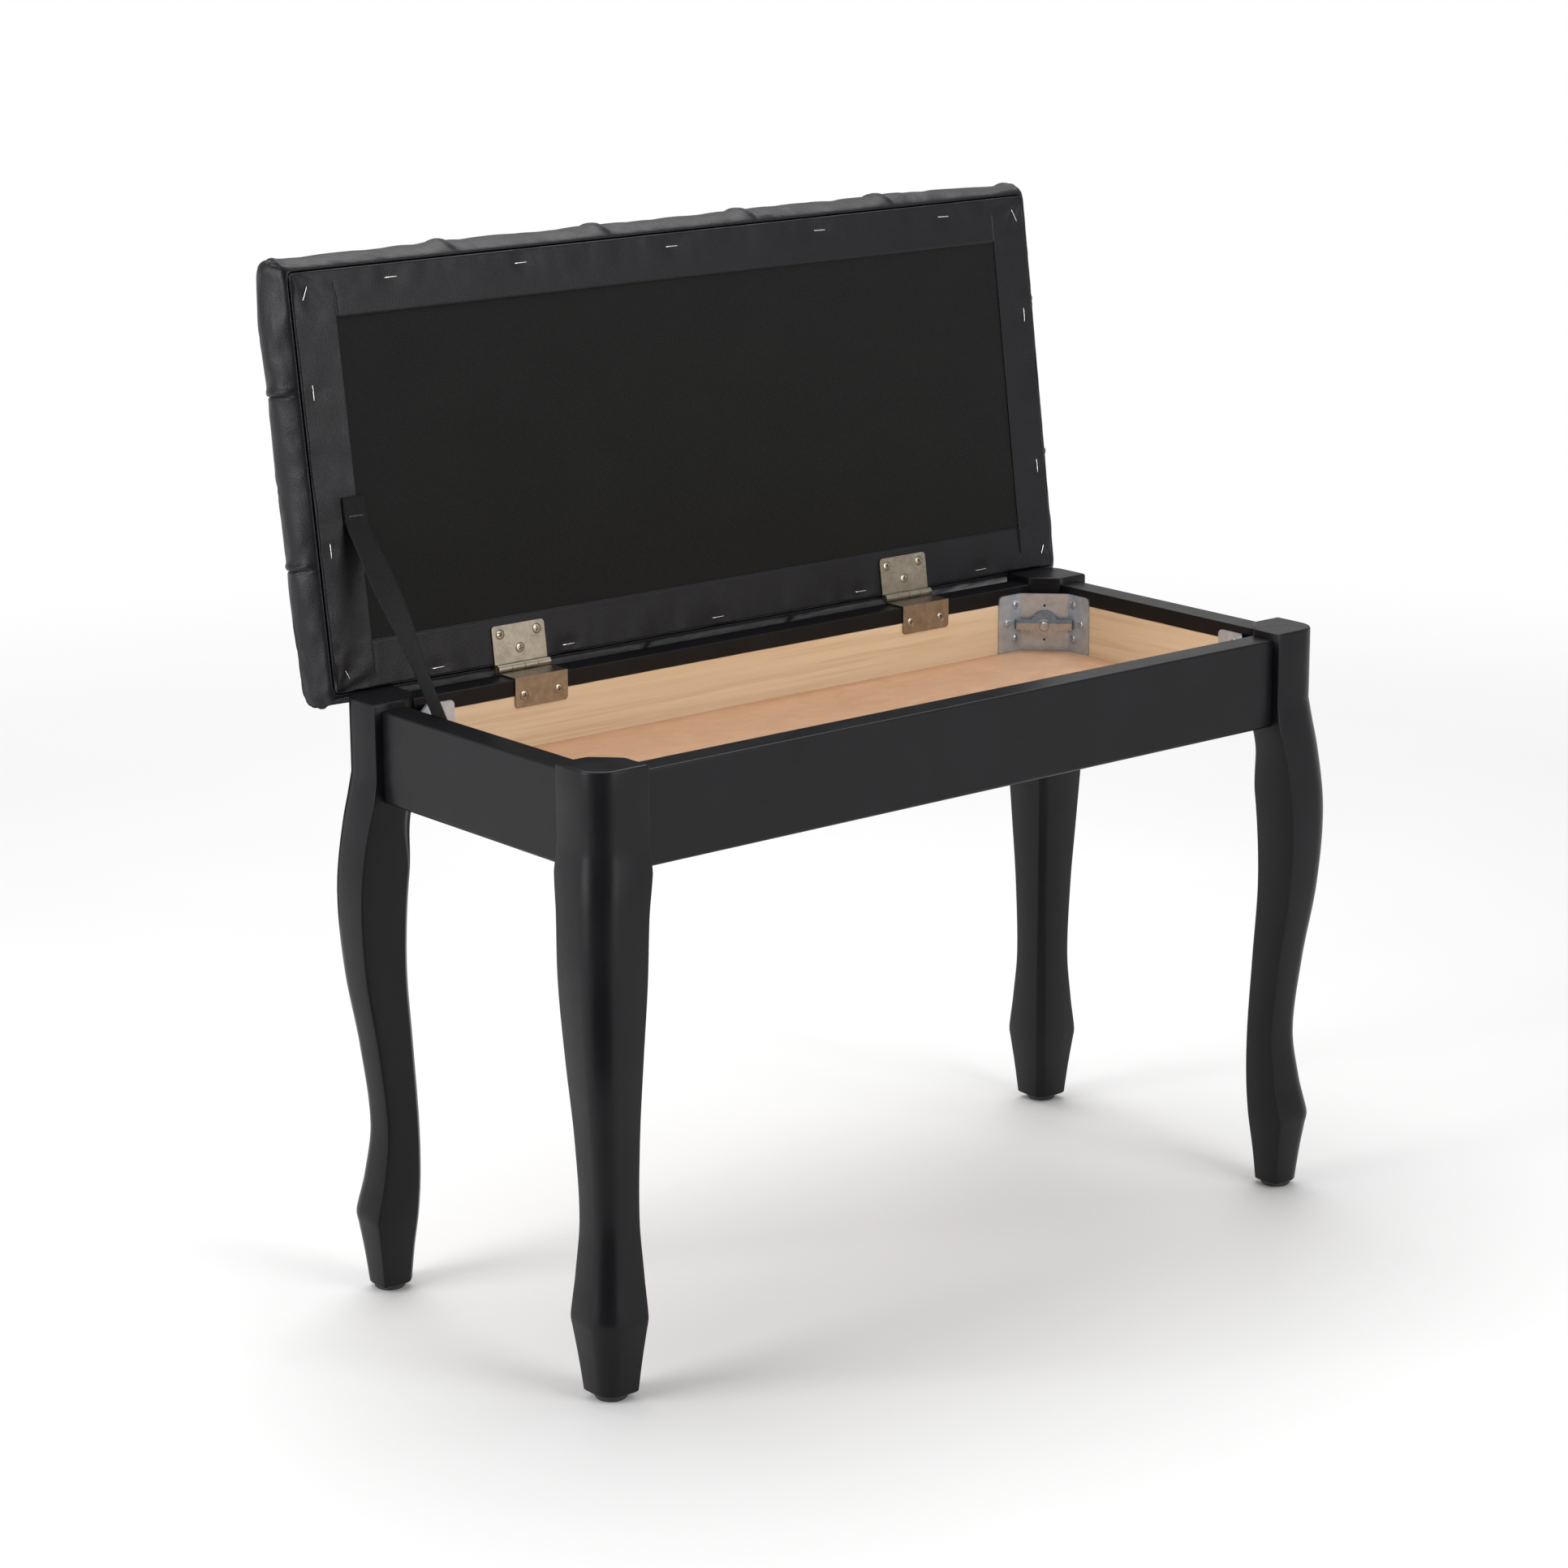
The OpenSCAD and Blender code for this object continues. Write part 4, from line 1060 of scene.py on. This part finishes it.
def screws():
    """All wood screws whose heads show: in the lid, in the back rail and in the corner brackets."""
    groups = {"hinge_lid_screws": [], "hinge_rail_screws": [], "bracket_screws": []}
    for sx in (-1, 1):
        for px, pv in LID_SCREWS:
            centre = Vector((sx * HINGE_X + px, -pv, UNDER - LEAF_T))
            groups["hinge_lid_screws"].append((FLAT_HEAD, 12, centre, Vector((0, 0, -1))))
        for s in (-1, 1):
            off_hinge = Vector((sx * HINGE_X + s * RAIL_SCREW_X, -RAIL_T - LEAF_T, -RAIL_SCREW_DROP))
            centre = HINGE / MM + off_hinge
            groups["hinge_rail_screws"].append((FLAT_HEAD, 15, centre, Vector((0, -1, 0))))
        for sy in (-1, 1):
            for p, z in FLANGE_SCREWS:
                high = PANEL_TOP / MM + BRACKET_LIFT + z
                on_long = Vector((sx * (INNER_X / MM - BRACKET_REACH - p),
                                  MIDDLE.y / MM + sy * (INNER_Y / MM - BRACKET_T), high))
                on_short = Vector((sx * (INNER_X / MM - BRACKET_T),
                                   MIDDLE.y / MM + sy * (INNER_Y / MM - BRACKET_REACH - p), high))
                groups["bracket_screws"].append((PAN_HEAD, 12, on_long, Vector((0, -sy, 0))))
                groups["bracket_screws"].append((PAN_HEAD, 12, on_short, Vector((-sx, 0, 0))))
    for node, places in groups.items():
        points, faces = [], []
        for k, (head, shank, centre, facing) in enumerate(places):
            add_part(points, faces, *screw(head, shank, centre, facing, 0.9 * k * k))
        on_lid = node == "hinge_lid_screws"
        finish = "bright_zinc" if node == "bracket_screws" else "nickel_screw"
        made = make_mesh(f"{node}_phillips", points, faces, finish, LID if on_lid else None, crease_deg=40)
        steel = "zinc_steel" if node == "bracket_screws" else "nickel_steel"
        belongs(made, "lid" if on_lid else "frame", steel, node)


# ---------------------------------------------------------------- strap

STRAP_W, STRAP_T = 19.0, 1.2


def strap_band():
    """Webbing from its stapled, folded end on the lid down to the left rail, a quarter twisted."""
    foot_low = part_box("strap")[0]
    foot = Vector((-INNER_X + STRAP_T / 2 * MM, foot_low.y + STRAP_W / 2 * MM, foot_low.z + 20 * MM))

    def on_lid(v, out):
        return LID @ Vector((STRAP_X * MM, -v * MM, (UNDER - out) * MM))

    # centre, direction across the band, for stations from the folded end to the foot
    side = Vector((1, 0, 0))
    stations = []
    for v, out in ((124.5, 0.75), (131, 0.7), (137, 0.7), (141.3, 0.8), (142.6, 1.4), (141.3, 2.0),
                   (137, 2.05), (131, 2.0), (126, 2.1)):
        stations.append((on_lid(v, out), side))
    runs = 46
    for k in range(1, runs + 1):
        u = k / runs
        turn = math.radians(90) * ease(u / 0.8)
        start = on_lid(123, 2.0)
        x = foot.x + (start.x - foot.x) * (1 - ease(u / 0.8))
        sag = -4.5 * MM * math.sin(math.pi * u) * (1 - u)
        p = Vector((x, start.y + (foot.y - start.y) * u + sag, start.z + (foot.z - start.z) * u))
        stations.append((p, Vector((math.cos(turn), -math.sin(turn), 0))))
    for drop in (3, 6, 9, 12, 15, 18, 20):
        stations.append((foot - Vector((0, 0, drop * MM)), Vector((0, -1, 0))))
    half_section = [(-1, 0), (-0.97, 0.7), (-0.85, 1), (-0.5, 1), (0, 1), (0.5, 1), (0.85, 1), (0.97, 0.7)]
    section = half_section + [(-s, -t) for s, t in half_section]
    points, along, run = [], [], 0.0
    for k, (p, across) in enumerate(stations):
        before, after = stations[max(k - 1, 0)][0], stations[min(k + 1, len(stations) - 1)][0]
        tangent = (after - before).normalized()
        out = across.cross(tangent).normalized()
        if k:
            run += (p - stations[k - 1][0]).length
        for s, t in section:
            points.append(p + across * (s * STRAP_W / 2 * MM) + out * (t * STRAP_T / 2 * MM))
            along.append((s * STRAP_W / 2 * MM, run))
    rings = [section] * len(stations)
    band = make_mesh("webbing_strap", points, loft(rings), "webbing", crease_deg=60)
    layer = band.data.uv_layers.new(name="band")
    for loop in band.data.loops:
        layer.data[loop.index].uv = along[loop.vertex_index]
    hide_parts("strap", "strap_lid_end")
    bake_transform(band)


# ---------------------------------------------------------------- camera, floor and light

CAMERA_AZIMUTH = math.radians(-39.42)
TOWARD_CAMERA = Vector((math.sin(CAMERA_AZIMUTH), -math.cos(CAMERA_AZIMUTH), 0))


def add_camera():
    elevation, roll, distance = math.radians(14.73), math.radians(-0.34), 3.07
    back = TOWARD_CAMERA * math.cos(elevation) + Vector((0, 0, math.sin(elevation)))
    target = Vector((-0.0566, MIDDLE.y, 0.3691))
    data = bpy.data.cameras.new("camera")
    data.sensor_width = 36
    data.lens = 94.67
    data.shift_x = -0.0024
    camera = bpy.data.objects.new("camera", data)
    bpy.context.scene.collection.objects.link(camera)
    facing = (-back).to_track_quat("-Z", "Y").to_matrix().to_4x4()
    tilt = Matrix.Rotation(roll, 4, "Z")
    camera.matrix_world = Matrix.Translation(target + back * distance) @ facing @ tilt
    bpy.context.scene.camera = camera


def add_light(name, place, target, size, power):
    data = bpy.data.lights.new(name, "AREA")
    data.shape = "RECTANGLE"
    data.size, data.size_y = size
    data.energy = power
    lamp = bpy.data.objects.new(name, data)
    bpy.context.scene.collection.objects.link(lamp)
    place, target = Vector(place), Vector(target)
    facing = (target - place).to_track_quat("-Z", "Y").to_matrix().to_4x4()
    lamp.matrix_world = Matrix.Translation(place) @ facing


def pale_floor():
    """A wide sheet of pale ground that runs out into plain white a few metres away."""
    g = Graph("pale_floor")
    soft = g.noise(0.4, 2)
    g.finish(g.mix(g.spread(soft, 0, 1), (0.81, 0.81, 0.81), (0.83, 0.83, 0.83)), 0.6)
    far = g.node("ShaderNodeVectorMath", operation="LENGTH")
    g.feed(far.inputs[0], g.place)
    white = g.node("ShaderNodeEmission")
    blend = g.node("ShaderNodeMixShader")
    output = g.tree.nodes["Material Output"]
    g.feed(blend.inputs[0], g.step(far.outputs["Value"], 1.0, 2.6))
    g.tree.links.new(g.shader.outputs[0], blend.inputs[1])
    g.tree.links.new(white.outputs[0], blend.inputs[2])
    g.tree.links.new(blend.outputs[0], output.inputs["Surface"])
    return g.material


def ground_sheet(name, corners, material):
    mesh = bpy.data.meshes.new(name)
    mesh.from_pydata(corners, [], [(0, 1, 2, 3)])
    mesh.materials.append(material)
    sheet = bpy.data.objects.new(name, mesh)
    bpy.context.scene.collection.objects.link(sheet)
    return sheet


def dark_card():
    """A black card on the ground and a strip behind the lid, seen only in the gloss of the bench."""
    g = Graph("dark_card")
    g.finish(g.mix(g.noise(0.3), (0.010, 0.010, 0.010), (0.016, 0.016, 0.016)), 0.9)
    side = Vector((-TOWARD_CAMERA.y, TOWARD_CAMERA.x, 0))
    near, far = FRONT_LEFT + TOWARD_CAMERA * 0.30, FRONT_LEFT + TOWARD_CAMERA * 3.2
    near_half, far_half = side * 0.42, side * 1.50
    corners = [near - near_half, far - far_half, far + far_half, near + near_half]
    card = ground_sheet("dark_card", [(c.x, c.y, 0.004) for c in corners], g.material)
    # A strip close behind the foot of the open lid keeps the white surroundings out of its near roll
    low, high, back, half = 0.25, 0.49, 0.215, 0.37
    corners = [(-half, back, low), (half, back, low), (half, back, high), (-half, back, high)]
    flag = ground_sheet("dark_strip", corners, g.material)
    for dark in (card, flag):
        dark.visible_camera = dark.visible_diffuse = dark.visible_shadow = False
        dark.visible_transmission = False


def studio_world():
    """White to the camera; in the gloss it is paler behind the bench and dark on the camera's side."""
    world = bpy.data.worlds.new("studio")
    world.use_nodes = True
    tree = world.node_tree
    background = tree.nodes["Background"]
    place = tree.nodes.new("ShaderNodeTexCoord")
    toward = tree.nodes.new("ShaderNodeVectorMath")
    toward.operation = "DOT_PRODUCT"
    toward.inputs[1].default_value = TOWARD_CAMERA
    shade = tree.nodes.new("ShaderNodeMapRange")
    shade.interpolation_type = "SMOOTHSTEP"
    for name, number in (("From Min", 0.25), ("From Max", 0.9), ("To Min", 0.55), ("To Max", 0.04)):
        shade.inputs[name].default_value = number
    seen = tree.nodes.new("ShaderNodeLightPath")
    white = tree.nodes.new("ShaderNodeMix")
    white.data_type = "FLOAT"
    tree.links.new(place.outputs["Generated"], toward.inputs[0])
    tree.links.new(toward.outputs["Value"], shade.inputs["Value"])
    tree.links.new(seen.outputs["Is Camera Ray"], white.inputs["Factor"])
    tree.links.new(shade.outputs["Result"], white.inputs["A"])
    white.inputs["B"].default_value = 1.0
    tree.links.new(white.outputs["Result"], background.inputs["Strength"])
    background.inputs["Color"].default_value = (1, 1, 1, 1)
    return world


def add_studio():
    """Pale ground, a softbox on each side of the camera and a broad one overhead."""
    wide = 14.0
    corners = [(-wide, -wide, 0), (wide, -wide, 0), (wide, wide, 0), (-wide, wide, 0)]
    ground_sheet("floor", corners, pale_floor())
    dark_card()
    bpy.context.scene.world = studio_world()
    bpy.context.scene.view_settings.view_transform = "Standard"
    add_light("softbox_right", (0.44, -2.2, 1.15), (0, 0, 0.45), (1.1, 1.5), 26)
    add_light("softbox_left", (-2.2, 0.42, 1.15), (0, 0, 0.45), (1.1, 1.5), 32)
    add_light("overhead", (0.5, 0.9, 2.8), (0, 0, 0.2), (2.6, 2.6), 62)


# ---------------------------------------------------------------- the scene

add_camera()
add_studio()
dress_cad_nodes()
for side_x in (-1, 1):
    for side_y in (-1, 1):
        carved_leg(side_x, side_y)
tufted_seat()
leather_border()
stretched_dust_cloth()
covered_buttons()
cover_staples()
screws()
strap_band()
